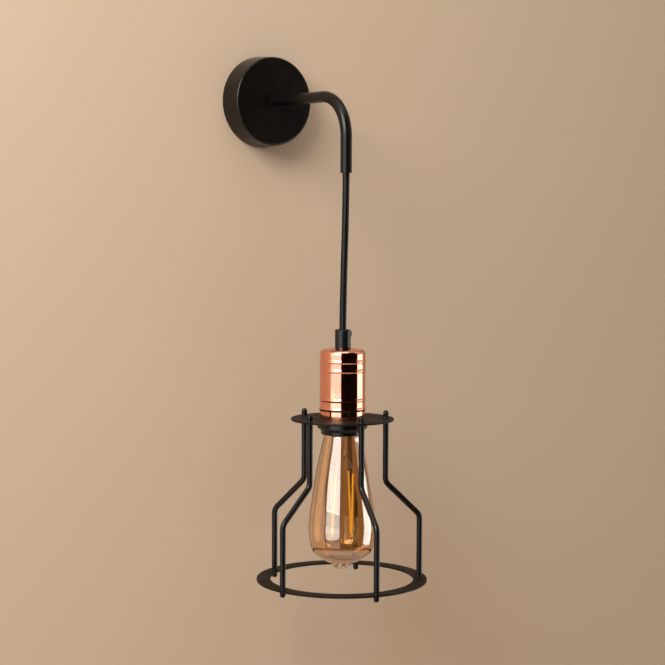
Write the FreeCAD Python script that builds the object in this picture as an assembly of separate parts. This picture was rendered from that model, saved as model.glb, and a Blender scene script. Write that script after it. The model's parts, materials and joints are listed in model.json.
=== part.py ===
import FreeCAD, Part

import math
import os

# Wall light with a pendant wire cage: a round canopy on the wall, a bent arm tube, a short hanging cord,
# a copper lampholder, a five-rod cage and a long filament bulb. Millimetres. The origin is the middle of
# the canopy's back, on the wall. +Z is up, +X is to the right seen from the room, +Y goes into the wall.

# --- canopy and wall bracket ---------------------------------------------------------------------------
canopy_back_diameter = 84.0
canopy_front_diameter = 81.0
canopy_depth = 23.0
canopy_wall = 1.0
canopy_edge_radius = 2.0
bracket_width = 18.0
bracket_thickness = 2.0
bracket_to_canopy = 1.4
ear_depth = 12.0
wall_hole_spacing = 50.0
wall_hole_diameter = 4.5
cable_entry_diameter = 12.0
grub_diameter = 4.0
grub_length = 6.0
grub_recess = 0.4
grub_hex = 2.0
grub_from_wall = 8.0

# --- terminal block in the canopy ----------------------------------------------------------------------
block_length = 24.0
block_width = 16.0
block_height = 12.0
block_offset = 13.0
block_end_wall = 1.0
pole_count = 3
pole_pitch = 8.0
barrel_diameter = 5.0
barrel_bore = 3.2
pole_screw_diameter = 2.8
pole_screw_spacing = 7.0
pole_screw_sink = 1.0
pole_well_diameter = 4.0
block_screw_diameter = 2.4
block_screw_head = 3.4
block_screw_sink = 2.0
lead_diameter = 2.0
earth_screw_diameter = 4.0
earth_screw_head = 7.0
earth_screw_head_height = 2.4
earth_screw_drop = 16.0
earth_screw_slot_width = 0.8
earth_screw_slot_depth = 0.8
lead_gap = 0.1
lead_knee = 9.8

# --- arm -----------------------------------------------------------------------------------------------
arm_projection = 136.5
arm_drop = 67.5
arm_bend_radius = 36.0
tube_diameter = 10.0
tube_wall = 1.0
nipple_wall = 0.6
nipple_inside_tube = 12.0
nipple_inside_canopy = 8.0
arm_nut_across_flats = 13.0
arm_nut_thickness = 4.0
arm_washer_diameter = 18.0
arm_washer_thickness = 1.0
bush_length = 6.0
bush_recess = 2.0
bush_wall = 0.6

# --- cord ----------------------------------------------------------------------------------------------
cord_diameter = 6.2
hanging_length = 136.0
lean_x = -1.9
lean_y = 0.95
pivot_inside_mouth = 0.1
pivot_ball_diameter = 3.8
ball_clearance = 0.2
cord_end_in_canopy = 12.0

# --- lampholder ----------------------------------------------------------------------------------------
grip_diameter = 14.0
grip_height = 18.0
grip_chamfer = 0.8
grip_spigot_diameter = 10.0
grip_spigot_length = 10.0
grip_bore_clearance = 0.3
grip_screw_diameter = 4.0
grip_screw_head = 7.5
grip_screw_head_height = 3.4
grip_screw_drop = 4.2
grip_screw_turn = 23.0
cup_diameter = 40.0
cup_height = 60.0
cup_wall = 1.0
cup_corner_radius = 4.0
bead_drops = (8.0, 16.0, 41.5, 49.5)
bead_height = 3.2
bead_rise = 0.55
bridge_width = 12.0
bridge_thickness = 1.5
bridge_half_span = 14.5
foot_length = 7.5
bridge_screw_diameter = 3.0
bridge_screw_head = 5.4
bridge_screw_head_height = 2.0
bridge_screw_depth = 6.0
holder_nut_across_flats = 14.0
holder_nut_thickness = 3.0
insert_diameter = 34.0
insert_top_drop = 28.5
insert_floor = 14.0
insert_below_disc = 9.2
insert_flange_height = 3.0
insert_clearance = 0.1
shell_diameter = 28.4
shell_plate = 0.8
shell_plate_hole = 12.0
shell_above_rim = 1.0
shell_extra_turns = 1.5
contact_stem_diameter = 3.0
contact_leaf_diameter = 7.0
contact_leaf_thickness = 0.5
contact_leaf_drop = 1.0
link_width = 5.0
link_thickness = 0.6
neutral_rivet_offset = 9.5
terminal_offset = 7.0
terminal_size = 6.0
terminal_width = 8.0
terminal_screw_diameter = 3.0
terminal_screw_head = 4.8
terminal_screw_head_height = 1.5
core_diameter = 1.8
core_offset = 1.4
earth_core_offset = 1.9
sheath_below_spigot = 1.0
holder_earth_screw_drop = 16.5
holder_earth_screw_head = 5.2
holder_earth_screw_head_height = 1.6
holder_earth_screw_diameter = 3.0
holder_earth_screw_length = 3.0

# --- cage ----------------------------------------------------------------------------------------------
disc_diameter = 90.0
disc_thickness = 1.5
disc_hole_clearance = 0.2
collar_diameter = 44.0
collar_band = 6.3
collar_cone = 3.2
collar_lip_diameter = 37.6
collar_lip_height = 2.8
collar_edge_radius = 0.6
rod_count = 5
rod_diameter = 5.0
rod_above_disc = 6.6
rod_below_ring = 5.9
rod_inside_disc_edge = 6.5
rod_inside_ring_edge = 5.9
rod_bend_radius = 9.0
upper_bend_drop = 56.8
lower_bend_drop = 86.6
cage_turn = -100.1
ring_outer_diameter = 150.0
ring_width = 12.0
ring_thickness = 1.5
cage_height = 141.6

# --- bulb ----------------------------------------------------------------------------------------------
thread_pitch = 3.629
thread_turns = 4.5
cap_core_diameter = 24.1
thread_depth = 1.05
thread_base = 2.3
thread_crest = 0.9
thread_clearance = 0.3
thread_root = 0.4
cap_wall = 0.5
cap_length = 20.5
cap_top_diameter = 22.0
contact_button_diameter = 9.6
contact_button_height = 1.2
contact_gap = 0.1
insulator_height = 5.3
glass_wall = 0.8
neck_diameter = 26.8
neck_inside_cap = 1.6
nipple_tip_diameter = 11.8
nipple_tip_height = 4.6
# Radius of the glass and its distance below the cap, down the side of the bulb.
glass_side = (
    (16.2, 3.0),
    (17.4, 8.5),
    (21.2, 26.0),
    (25.6, 51.0),
    (28.7, 71.0),
    (30.0, 89.0),
    (26.6, 105.5),
    (15.6, 114.6),
)
glass_bottom_drop = 118.2
stem_tube_diameter = 7.0
stem_flare_height = 6.0
stem_length = 29.0
stem_neck_height = 6.0
stem_rod_diameter = 2.4
stem_rod_length = 68.0
filament_count = 4
filament_diameter = 1.6
filament_length = 59.0
filament_drop = 35.5
filament_top_radius = 11.0
filament_bottom_radius = 12.0
filament_turn = -65.0
filament_twist = -13.5
support_wire_diameter = 0.6

# --- shared helpers ------------------------------------------------------------------------------------
TINY = 1e-6
RUN_SHARE = 0.45
BOOLEAN_MARGIN = 1.0
DEPTH_AXIS = FreeCAD.Vector(0, -1, 0)
UP_AXIS = FreeCAD.Vector(0, 0, 1)
SIDE_AXIS = FreeCAD.Vector(1, 0, 0)
ORIGIN = FreeCAD.Vector(0, 0, 0)


def point(x, y, z):
    return FreeCAD.Vector(x, y, z)


def polar(radius, degrees, z=0.0):
    angle = math.radians(degrees)
    return point(radius * math.cos(angle), radius * math.sin(angle), z)


def rod_between(start, end, diameter):
    """A round bar from one point to another."""
    axis = end - start
    return Part.makeCylinder(diameter / 2, axis.Length, start, axis)


def disc_up(diameter, bottom, top, centre=ORIGIN):
    """An upright round bar between two heights."""
    return Part.makeCylinder(diameter / 2, top - bottom, point(centre.x, centre.y, bottom), UP_AXIS)


def disc_out(diameter, near, far, x=0.0, z=0.0):
    """A round bar that points into the room, between two distances from the wall."""
    return Part.makeCylinder(diameter / 2, far - near, point(x, -near, z), DEPTH_AXIS)


def box_between(low, high):
    size = high - low
    return Part.makeBox(size.x, size.y, size.z, low)


def hexagon_prism(across_flats, height, start, axis):
    """A hexagonal bar that starts at a point and runs along an axis."""
    corner_radius = across_flats / 2 / math.cos(math.pi / 6)
    corners = [polar(corner_radius, 60 * i) for i in range(7)]
    prism = Part.Face(Part.makePolygon(corners)).extrude(point(0, 0, height))
    prism.Placement = FreeCAD.Placement(start, FreeCAD.Rotation(UP_AXIS, axis))
    return prism


def turned(start, *steps):
    """A body turned about Z. A step is (r, z) for a line, or (r, z, r, z) for an arc by way of a point."""
    edges = []
    here = point(start[0], 0, start[1])
    for step in steps + (start,):
        end = point(step[-2], 0, step[-1])
        if len(step) == 4:
            edges.append(Part.Arc(here, point(step[0], 0, step[1]), end).toShape())
        elif here.distanceToPoint(end) > TINY:
            edges.append(Part.LineSegment(here, end).toShape())
        here = end
    return Part.Face(Part.Wire(edges)).revolve(ORIGIN, UP_AXIS, 360)


def dome(radius, base, rise):
    """The step from a rim at a height to the axis, as an arc of a sphere. The rise is negative for a tip."""
    size = (radius ** 2 + rise ** 2) / (2 * abs(rise))
    half_angle = math.asin(min(1.0, radius / size)) / 2
    drop = math.copysign(size * (1 - math.cos(half_angle)), rise)
    return (size * math.sin(half_angle), base + rise - drop, 0, base + rise)


def route(points, bend=None):
    """Straight runs through the points, joined by tangent arcs, as one wire."""
    edges = []
    here = points[0]
    for before, corner, after in zip(points, points[1:], points[2:]):
        back = (before - corner).normalize()
        ahead = (after - corner).normalize()
        half_angle = back.getAngle(ahead) / 2
        if math.cos(half_angle) < TINY:
            continue
        shorter = min(before.distanceToPoint(corner), after.distanceToPoint(corner))
        reach = bend / math.tan(half_angle) if bend else RUN_SHARE * shorter
        radius = reach * math.tan(half_angle)
        inward = (back + ahead).normalize()
        start = corner + back * reach
        end = corner + ahead * reach
        middle = corner + inward * (radius / math.sin(half_angle) - radius)
        edges.append(Part.LineSegment(here, start).toShape())
        edges.append(Part.Arc(start, middle, end).toShape())
        here = end
    edges.append(Part.LineSegment(here, points[-1]).toShape())
    return Part.Wire(edges)


def tube_along(path, diameter):
    """A solid round tube along a wire."""
    start = path.Edges[0].firstVertex().Point
    direction = path.Edges[0].tangentAt(path.Edges[0].FirstParameter)
    section = Part.Face(Part.Wire(Part.makeCircle(diameter / 2, start, direction)))
    return path.makePipe(section)


def one_solid(shape):
    """The single solid of a boolean result, with its split faces joined."""
    return shape.removeSplitter().Solids[0]


def fused(first, *others):
    return one_solid(first.multiFuse(list(others)))


# --- places worked out from the sizes --------------------------------------------------------------------
canopy_inner_depth = canopy_depth - canopy_wall
tube_bore = tube_diameter - 2 * tube_wall
nipple_bore = tube_bore - 2 * nipple_wall
arm_nut_near = canopy_inner_depth - arm_washer_thickness - arm_nut_thickness
nipple_near = canopy_inner_depth - nipple_inside_canopy
block_near = bracket_thickness
block_far = bracket_thickness + block_height
pole_depth = bracket_thickness + block_height / 2
pole_heights = [pole_pitch * (i - (pole_count - 1) / 2) for i in range(pole_count)]

pivot = point(0, -arm_projection, -arm_drop + pivot_inside_mouth)
cord_foot = pivot + point(lean_x, lean_y, -hanging_length)
lamp_axis = point(cord_foot.x, cord_foot.y, 0)
grip_top = cord_foot.z
cup_top = grip_top - grip_height
cup_bottom = cup_top - cup_height
cup_ceiling = cup_top - cup_wall
spigot_bottom = cup_top - grip_spigot_length
insert_top = cup_top - insert_top_drop
insert_floor_bottom = insert_top - insert_floor
disc_top = cup_bottom
disc_bottom = disc_top - disc_thickness
insert_bottom = disc_bottom - insert_below_disc
shell_top = insert_floor_bottom
shell_bottom = insert_bottom + shell_above_rim
shell_ceiling = shell_top - shell_plate
leaf_bottom = shell_ceiling - contact_leaf_drop + contact_leaf_thickness
button_top = leaf_bottom - contact_gap
cap_insulator_top = button_top - contact_button_height
cap_top = cap_insulator_top - insulator_height
cap_bottom = cap_top - cap_length
rod_top_radius = disc_diameter / 2 - rod_inside_disc_edge
rod_bottom_radius = ring_outer_diameter / 2 - rod_inside_ring_edge
ring_top = disc_top - cage_height
ring_bottom = ring_top - ring_thickness
sheath_bottom = spigot_bottom - sheath_below_spigot


def canopy_radius_at(depth):
    """Outer radius of the tapered canopy at a distance from the wall."""
    share = depth / (canopy_depth - canopy_edge_radius)
    return canopy_back_diameter / 2 + (canopy_front_diameter - canopy_back_diameter) / 2 * share


def to_lamp(shape):
    """Moves a shape built on the Z axis to the axis of the hanging lamp."""
    shape.translate(lamp_axis)
    return shape


# --- canopy and wall bracket ---------------------------------------------------------------------------
bracket_top = canopy_radius_at(ear_depth) - canopy_wall - bracket_to_canopy


def wall_bracket():
    """Steel strap on the wall: two bent ears for the canopy and a tab for the terminal block."""
    half = bracket_width / 2
    strap = box_between(point(-half, -bracket_thickness, -bracket_top), point(half, 0, bracket_top))
    tab_end = block_offset + block_width + block_end_wall
    tab = box_between(point(0, -bracket_thickness, -block_length / 2), point(tab_end, 0, block_length / 2))
    body = strap.fuse(tab)
    for side in (-1, 1):
        outer = side * bracket_top
        inner = side * (bracket_top - bracket_thickness)
        ear_low = point(-half, -ear_depth, min(outer, inner))
        ear_high = point(half, 0, max(outer, inner))
        body = body.fuse(box_between(ear_low, ear_high))
    drilled = [(cable_entry_diameter, 0, 0),
               (wall_hole_diameter, 0, -wall_hole_spacing / 2),
               (wall_hole_diameter, 0, wall_hole_spacing / 2),
               (earth_screw_diameter, 0, -earth_screw_drop),
               (block_screw_diameter, block_screw_x(), block_screw_z())]
    holes = [disc_out(diameter, -BOOLEAN_MARGIN, bracket_thickness + BOOLEAN_MARGIN, x, z)
             for diameter, x, z in drilled]
    holes.extend(grub_bore(side, grub_diameter) for side in (-1, 1))
    return one_solid(body.cut(Part.makeCompound(holes)))


def grub_bore(side, diameter):
    """A bore through one ear and the canopy wall outside it."""
    start = point(0, -grub_from_wall, side * (bracket_top - bracket_thickness - BOOLEAN_MARGIN))
    end = point(0, -grub_from_wall, side * (canopy_back_diameter / 2 + BOOLEAN_MARGIN))
    return rod_between(start, end, diameter)


def canopy():
    """Spun steel cup with a slight taper, open to the wall, with a hole for the arm in its face."""
    back = canopy_back_diameter / 2
    front = canopy_front_diameter / 2
    bend = canopy_edge_radius
    rim = canopy_depth - bend
    diagonal = bend * math.sqrt(0.5)
    inner_bend = bend - canopy_wall
    inner_diagonal = inner_bend * math.sqrt(0.5)
    shell = turned(
        (back, 0), (front, rim),
        (front - bend + diagonal, rim + diagonal, front - bend, canopy_depth),
        (0, canopy_depth), (0, canopy_inner_depth), (front - bend, canopy_inner_depth),
        (front - bend + inner_diagonal, rim + inner_diagonal, front - canopy_wall, rim),
        (back - canopy_wall, 0))
    shell.rotate(ORIGIN, SIDE_AXIS, 90)
    holes = [disc_out(tube_bore, canopy_inner_depth - BOOLEAN_MARGIN, canopy_depth + BOOLEAN_MARGIN)]
    holes.extend(grub_bore(side, grub_diameter + 2 * lead_gap) for side in (-1, 1))
    return one_solid(shell.cut(Part.makeCompound(holes)))


def grub_screws():
    """Two headless screws in the bracket's ears that hold the canopy, flush with its rim."""
    screws = []
    for side in (-1, 1):
        outside = side * (canopy_radius_at(grub_from_wall) - grub_recess)
        start = point(0, -grub_from_wall, outside)
        inward = point(0, 0, -side)
        screw = Part.makeCylinder(grub_diameter / 2, grub_length, start, inward)
        socket = hexagon_prism(grub_hex, grub_length / 2, start, inward)
        screws.append(one_solid(screw.cut(socket)))
    return Part.makeCompound(screws)


def bracket_earth_screw():
    """Screw on the strap that bonds the metalwork to earth."""
    head_far = bracket_thickness + lead_diameter + earth_screw_head_height
    head = disc_out(earth_screw_head, bracket_thickness + lead_diameter, head_far, 0, -earth_screw_drop)
    shank = disc_out(earth_screw_diameter, 0, head_far, 0, -earth_screw_drop)
    half_slot = earth_screw_slot_width / 2
    slot_low = point(-earth_screw_head, -head_far - TINY, -earth_screw_drop - half_slot)
    slot_high = point(earth_screw_head, -head_far + earth_screw_slot_depth, -earth_screw_drop + half_slot)
    return one_solid(head.fuse(shank).cut(box_between(slot_low, slot_high)))


# --- terminal block --------------------------------------------------------------------------------------
def block_screw_x():
    return block_offset + block_width / 2


def block_screw_z():
    return (pole_heights[0] + pole_heights[1]) / 2


def pole_screw_places():
    """Middle of each clamp screw: two on each pole."""
    shifts = (-pole_screw_spacing / 2, pole_screw_spacing / 2)
    return [(block_screw_x() + shift, height) for height in pole_heights for shift in shifts]


def terminal_block():
    """Moulded block with a bore for each pole, wells for the clamp screws and one fixing hole."""
    body = box_between(point(block_offset, -block_far, -block_length / 2),
                       point(block_offset + block_width, -block_near, block_length / 2))
    cuts = []
    for height in pole_heights:
        start = point(block_offset - BOOLEAN_MARGIN, -pole_depth, height)
        end = point(block_offset + block_width + BOOLEAN_MARGIN, -pole_depth, height)
        cuts.append(rod_between(start, end, barrel_diameter))
    for x, z in pole_screw_places():
        cuts.append(disc_out(pole_well_diameter, pole_depth, block_far + BOOLEAN_MARGIN, x, z))
    fixing = disc_out(block_screw_diameter, 0, block_far + BOOLEAN_MARGIN, block_screw_x(), block_screw_z())
    seat = disc_out(block_screw_head, block_far - block_screw_sink, block_far + BOOLEAN_MARGIN,
                    block_screw_x(), block_screw_z())
    return one_solid(body.cut(Part.makeCompound(cuts + [fixing, seat])))


def terminal_barrels():
    """Brass clamp tubes, one in each pole, tapped for their two screws."""
    barrels = []
    for height in pole_heights:
        start = point(block_offset + block_end_wall, -pole_depth, height)
        end = point(block_offset + block_width - block_end_wall, -pole_depth, height)
        tube = rod_between(start, end, barrel_diameter).cut(rod_between(start, end, barrel_bore))
        taps = [disc_out(pole_screw_diameter, pole_depth, block_far, x, z)
                for x, z in pole_screw_places() if z == height]
        barrels.append(one_solid(tube.cut(Part.makeCompound(taps))))
    return Part.makeCompound(barrels)


def terminal_screws():
    """Clamp screws that press on the leads inside the barrels."""
    near = pole_depth + lead_diameter / 2
    far = block_far - pole_screw_sink
    return Part.makeCompound([disc_out(pole_screw_diameter, near, far, x, z) for x, z in pole_screw_places()])


def block_screw():
    """Screw that holds the block to the bracket's tab."""
    seat = block_far - block_screw_sink
    head_far = seat + block_screw_sink / 2
    shank = disc_out(block_screw_diameter, 0, seat, block_screw_x(), block_screw_z())
    head = disc_out(block_screw_head, seat, head_far, block_screw_x(), block_screw_z())
    return fused(shank, head)


def canopy_lead(index):
    """One insulated core from the end of the cord to its pole."""
    spread = lead_diameter + lead_gap / 2
    start_z = spread * (index - (pole_count - 1) / 2)
    height = pole_heights[index]
    points = [point(0, -cord_end_in_canopy, start_z), point(0, -pole_depth, start_z),
              point(lead_knee, -pole_depth, height),
              point(block_screw_x() - lead_gap, -pole_depth, height)]
    return tube_along(route(points), lead_diameter)


def bracket_earth_lead():
    """Short core from the earth pole, round the end of the block, to the screw on the strap."""
    low = bracket_thickness + lead_diameter / 2
    beyond = block_offset + block_width + 2 * lead_diameter
    below = -block_length / 2 - 2 * lead_diameter
    points = [point(earth_screw_diameter / 2 + lead_gap, -low, below), point(beyond, -low, below),
              point(beyond, -pole_depth, pole_heights[0]),
              point(block_screw_x() + lead_gap, -pole_depth, pole_heights[0])]
    return tube_along(route(points), lead_diameter)


# --- arm -----------------------------------------------------------------------------------------------
def arm_route(start_depth, end_height):
    """Centre line of the bent arm, from a distance off the wall to a height in its upright end."""
    points = [point(0, -start_depth, 0), point(0, -arm_projection, 0), point(0, -arm_projection, end_height)]
    return route(points, arm_bend_radius)


def arm_tube():
    """Steel tube bent through a quarter turn, butting on the canopy's face and open at its lower end."""
    outside = tube_along(arm_route(canopy_depth, -arm_drop), tube_diameter)
    inside = tube_along(arm_route(canopy_depth - BOOLEAN_MARGIN, -arm_drop - BOOLEAN_MARGIN), tube_bore)
    return one_solid(outside.cut(inside))


def arm_nipple():
    """Threaded hollow piece fixed in the arm's wall end, which passes through the canopy's face."""
    far = canopy_depth + nipple_inside_tube
    outside = disc_out(tube_bore, nipple_near, far)
    return one_solid(outside.cut(disc_out(nipple_bore, nipple_near, far)))


def arm_washer():
    far = canopy_inner_depth
    near = far - arm_washer_thickness
    return one_solid(disc_out(arm_washer_diameter, near, far).cut(disc_out(tube_bore, near, far)))


def arm_nut():
    """Hexagonal nut that clamps the arm to the canopy from inside."""
    start = point(0, -arm_nut_near, 0)
    nut = hexagon_prism(arm_nut_across_flats, arm_nut_thickness, start, DEPTH_AXIS)
    return one_solid(nut.cut(disc_out(tube_bore, arm_nut_near, arm_nut_near + arm_nut_thickness)))


def mouth_bush():
    """Plastic lining just inside the arm's open end, which keeps the cord off the steel."""
    bottom = -arm_drop + bush_recess
    top = bottom + bush_length
    axis = point(0, -arm_projection, 0)
    outside = disc_up(tube_bore, bottom, top, axis)
    return one_solid(outside.cut(disc_up(tube_bore - 2 * bush_wall, bottom, top, axis)))


# --- cord ----------------------------------------------------------------------------------------------
def cord_in_arm():
    """The cord's stretch that the arm holds, from inside the canopy to just above the arm's mouth."""
    end_height = pivot.z + pivot_ball_diameter / 2 + ball_clearance
    path = arm_route(cord_end_in_canopy, end_height)
    tube = tube_along(path, cord_diameter)
    section = math.pi * cord_diameter ** 2 / 4
    print("cord in arm: length %.1f mm, bend radius %.1f mm, volume over section times length %.4f"
          % (path.Length, arm_bend_radius, tube.Volume / (section * path.Length)))
    return tube


def cord_bend():
    """The small core that the cord bends about at the arm's mouth."""
    return Part.makeSphere(pivot_ball_diameter / 2, pivot)


def hanging_cord():
    """The free cord: one straight run, because it carries the lamp, cut level where it meets the grip."""
    axis = cord_foot - pivot
    end = cord_foot + axis * (BOOLEAN_MARGIN / axis.Length)
    run = rod_between(pivot, end, cord_diameter)
    below = disc_up(2 * cord_diameter, cord_foot.z - 2 * BOOLEAN_MARGIN, cord_foot.z, lamp_axis)
    socket = Part.makeSphere(pivot_ball_diameter / 2 + ball_clearance, pivot)
    print("hanging cord: length %.1f mm, diameter %.1f mm, straight" % (axis.Length, cord_diameter))
    return one_solid(run.cut(Part.makeCompound([below, socket])))


def cord_in_holder():
    """The cord's stretch inside the grip, down to where its sheath is stripped."""
    return disc_up(cord_diameter, sheath_bottom, grip_top, lamp_axis)


# --- lampholder ----------------------------------------------------------------------------------------
def cord_grip():
    """Moulded cord grip: a plain barrel with a threaded spigot below, bored for the cord."""
    radius = grip_diameter / 2
    bore = cord_diameter / 2 + grip_bore_clearance
    spigot = grip_spigot_diameter / 2
    body = turned(
        (bore, grip_top), (radius - grip_chamfer, grip_top), (radius, grip_top - grip_chamfer),
        (radius, cup_top), (spigot, cup_top), (spigot, spigot_bottom), (bore, spigot_bottom))
    centre, direction = grip_screw_axis()
    tap = Part.makeCylinder(grip_screw_diameter / 2, grip_diameter, centre, direction)
    return to_lamp(one_solid(body.cut(tap)))


def grip_screw_axis():
    """Where the clamp screw's axis crosses the cord, and which way the screw points."""
    return point(0, 0, grip_top - grip_screw_drop), polar(1, grip_screw_turn)


def cord_grip_screw():
    """Domed thumb screw through the grip's side, with its tip on the cord."""
    centre, direction = grip_screw_axis()
    tip = centre + direction * (cord_diameter / 2)
    seat = grip_diameter / 2 + grip_bore_clearance
    head_radius = grip_screw_head / 2
    shank = Part.makeCylinder(grip_screw_diameter / 2, seat - cord_diameter / 2, tip, direction)
    rim = grip_screw_head_height / 2
    head = turned((0, 0), (head_radius, 0), (head_radius, rim), dome(head_radius, rim, rim))
    head.Placement = FreeCAD.Placement(centre + direction * seat, FreeCAD.Rotation(UP_AXIS, direction))
    return to_lamp(fused(shank, head))


def cup_side():
    """The cup's outer side, downwards, with its rolled beads."""
    radius = cup_diameter / 2
    steps = []
    for drop in bead_drops:
        start = cup_top - drop
        steps.append((radius, start))
        steps.append((radius + bead_rise, start - bead_height / 2, radius, start - bead_height))
    return steps


def lampholder_cup():
    """Spun copper cup with a rounded top, four rolled beads and a hole for the grip."""
    radius = cup_diameter / 2
    inner = radius - cup_wall
    bend = cup_corner_radius
    inner_bend = bend - cup_wall
    diagonal = bend * math.sqrt(0.5)
    inner_diagonal = inner_bend * math.sqrt(0.5)
    hole = grip_spigot_diameter / 2
    shell = turned(
        (hole, cup_top), (radius - bend, cup_top),
        (radius - bend + diagonal, cup_top - bend + diagonal, radius, cup_top - bend),
        *cup_side(),
        (radius, cup_bottom), (inner, cup_bottom), (inner, cup_top - bend),
        (radius - bend + inner_diagonal, cup_top - bend + inner_diagonal, radius - bend, cup_ceiling),
        (hole, cup_ceiling))
    return to_lamp(shell)


def holder_bridge():
    """Steel strap under the cup's top with two legs whose feet are screwed to the insert."""
    half = bridge_width / 2
    span = bridge_half_span
    body = box_between(point(-span, -half, cup_ceiling - bridge_thickness), point(span, half, cup_ceiling))
    for side in (-1, 1):
        outer = side * span
        inner = side * (span - bridge_thickness)
        toe = side * (span - foot_length)
        leg = box_between(point(min(outer, inner), -half, insert_top),
                          point(max(outer, inner), half, cup_ceiling))
        foot = box_between(point(min(outer, toe), -half, insert_top),
                           point(max(outer, toe), half, insert_top + bridge_thickness))
        body = body.fuse(leg).fuse(foot)
    holes = [disc_up(grip_spigot_diameter, cup_ceiling - 2 * bridge_thickness, cup_top)]
    for place in bridge_screw_places():
        holes.append(disc_up(bridge_screw_diameter, insert_top - BOOLEAN_MARGIN,
                             insert_top + bridge_thickness + BOOLEAN_MARGIN, place))
    earth_start, earth_end = holder_earth_axis()
    holes.append(rod_between(earth_start, earth_end, holder_earth_screw_diameter))
    return to_lamp(one_solid(body.cut(Part.makeCompound(holes))))


def bridge_screw_places():
    reach = bridge_half_span - bridge_thickness - bridge_screw_head / 2
    return [point(side * reach, 0, 0) for side in (-1, 1)]


def bridge_screws():
    """Two screws from the bridge's feet into the insert."""
    seat = insert_top + bridge_thickness
    screws = []
    for place in bridge_screw_places():
        head = disc_up(bridge_screw_head, seat, seat + bridge_screw_head_height, place)
        shank = disc_up(bridge_screw_diameter, insert_top - bridge_screw_depth, seat, place)
        screws.append(fused(head, shank))
    return to_lamp(Part.makeCompound(screws))


def holder_nut():
    """Nut on the grip's spigot, under the bridge."""
    top = cup_ceiling - bridge_thickness
    start = point(0, 0, top - holder_nut_thickness)
    nut = hexagon_prism(holder_nut_across_flats, holder_nut_thickness, start, UP_AXIS)
    return to_lamp(one_solid(nut.cut(disc_up(grip_spigot_diameter, start.z - TINY, top + TINY))))


def holder_insert():
    """Moulded insert: a floor for the contacts, a bore for the threaded shell and a neck for the collar."""
    outer = insert_diameter / 2
    flange = cup_diameter / 2 - cup_wall - insert_clearance
    bore = shell_diameter / 2
    body = turned(
        (0, insert_top), (outer, insert_top), (outer, disc_top + insert_flange_height),
        (flange, disc_top + insert_flange_height), (flange, disc_top), (outer, disc_top),
        (outer, insert_bottom), (bore, insert_bottom), (bore, insert_floor_bottom), (0, insert_floor_bottom))
    above = insert_top + BOOLEAN_MARGIN
    holes = [disc_up(contact_stem_diameter, insert_floor_bottom - BOOLEAN_MARGIN, above, place)
             for place in (ORIGIN, point(0, -neutral_rivet_offset, 0))]
    holes.extend(disc_up(bridge_screw_diameter, insert_top - bridge_screw_depth, above, place)
                 for place in bridge_screw_places())
    return to_lamp(one_solid(body.cut(Part.makeCompound(holes))))


def thread_ridge(core_radius, depth, base, crest, bottom, turns):
    """A right-hand helical ridge that rises from a round core, as a solid."""
    sink = thread_root
    slope = (base - crest) / 2 / depth
    wide = base / 2 + slope * sink
    inner = core_radius - sink
    outer = core_radius + depth
    corners = [(inner, -wide), (outer, -crest / 2), (outer, crest / 2), (inner, wide), (inner, -wide)]
    profile = Part.makePolygon([point(r, 0, bottom + z) for r, z in corners])
    helix = Part.makeHelix(thread_pitch, thread_pitch * turns, core_radius)
    helix.translate(point(0, 0, bottom))
    return Part.Wire(helix).makePipeShell([profile], True, True)


def cap_thread_bottom():
    return cap_bottom + thread_base


def shell_thread_bottom():
    """Lowest point of the shell's groove: in phase with the bulb's ridge, a whole turn below it."""
    return cap_thread_bottom() - thread_pitch


def thread_shell():
    """Brass shell with a helical groove for the bulb's thread, closed above by a plate with a hole."""
    outer = shell_diameter / 2
    bore = cap_core_diameter / 2 + thread_clearance
    body = turned(
        (shell_plate_hole / 2, shell_top), (outer, shell_top), (outer, shell_bottom), (bore, shell_bottom),
        (bore, shell_ceiling), (shell_plate_hole / 2, shell_ceiling))
    turns = thread_turns + shell_extra_turns
    widening = 2 * thread_clearance
    groove = thread_ridge(bore, thread_depth, thread_base + widening, thread_crest + widening,
                          shell_thread_bottom(), turns)
    return to_lamp(one_solid(body.cut(groove)))


def centre_contact():
    """Sprung contact: a link on the floor, a stem through it and a leaf above the bulb's button."""
    leaf = disc_up(contact_leaf_diameter, leaf_bottom, leaf_bottom + contact_leaf_thickness)
    stem = disc_up(contact_stem_diameter, leaf_bottom, insert_top + link_thickness)
    end = terminal_offset + terminal_size
    link = box_between(point(-link_width / 2, -link_width / 2, insert_top),
                       point(link_width / 2, end, insert_top + link_thickness))
    return to_lamp(fused(leaf, stem, link))


def neutral_link():
    """Link and rivet that join the neutral terminal to the threaded shell."""
    end = -(terminal_offset + terminal_size)
    link = box_between(point(-link_width / 2, end, insert_top),
                       point(link_width / 2, -terminal_offset, insert_top + link_thickness))
    rivet = disc_up(contact_stem_diameter, shell_top, insert_top + link_thickness,
                    point(0, -neutral_rivet_offset, 0))
    return to_lamp(fused(link, rivet))


def core_height():
    """Height of the cores where they enter the two terminals."""
    return insert_top + link_thickness + terminal_size / 2


def holder_terminals():
    """Two brass clamp blocks on the links, each bored for its core and tapped for its screw."""
    blocks = []
    bottom = insert_top + link_thickness
    for side in (-1, 1):
        near = side * terminal_offset
        far = side * (terminal_offset + terminal_size)
        block = box_between(point(-terminal_width / 2, min(near, far), bottom),
                            point(terminal_width / 2, max(near, far), bottom + terminal_size))
        bore = rod_between(point(0, near - side * BOOLEAN_MARGIN, core_height()),
                           point(0, far + side * BOOLEAN_MARGIN, core_height()), core_diameter + lead_gap)
        tap = disc_up(terminal_screw_diameter, core_height(), bottom + terminal_size + BOOLEAN_MARGIN,
                      terminal_screw_place(side))
        blocks.append(one_solid(block.cut(Part.makeCompound([bore, tap]))))
    return to_lamp(Part.makeCompound(blocks))


def terminal_screw_place(side):
    return point(0, side * (terminal_offset + terminal_size / 2), 0)


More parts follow.
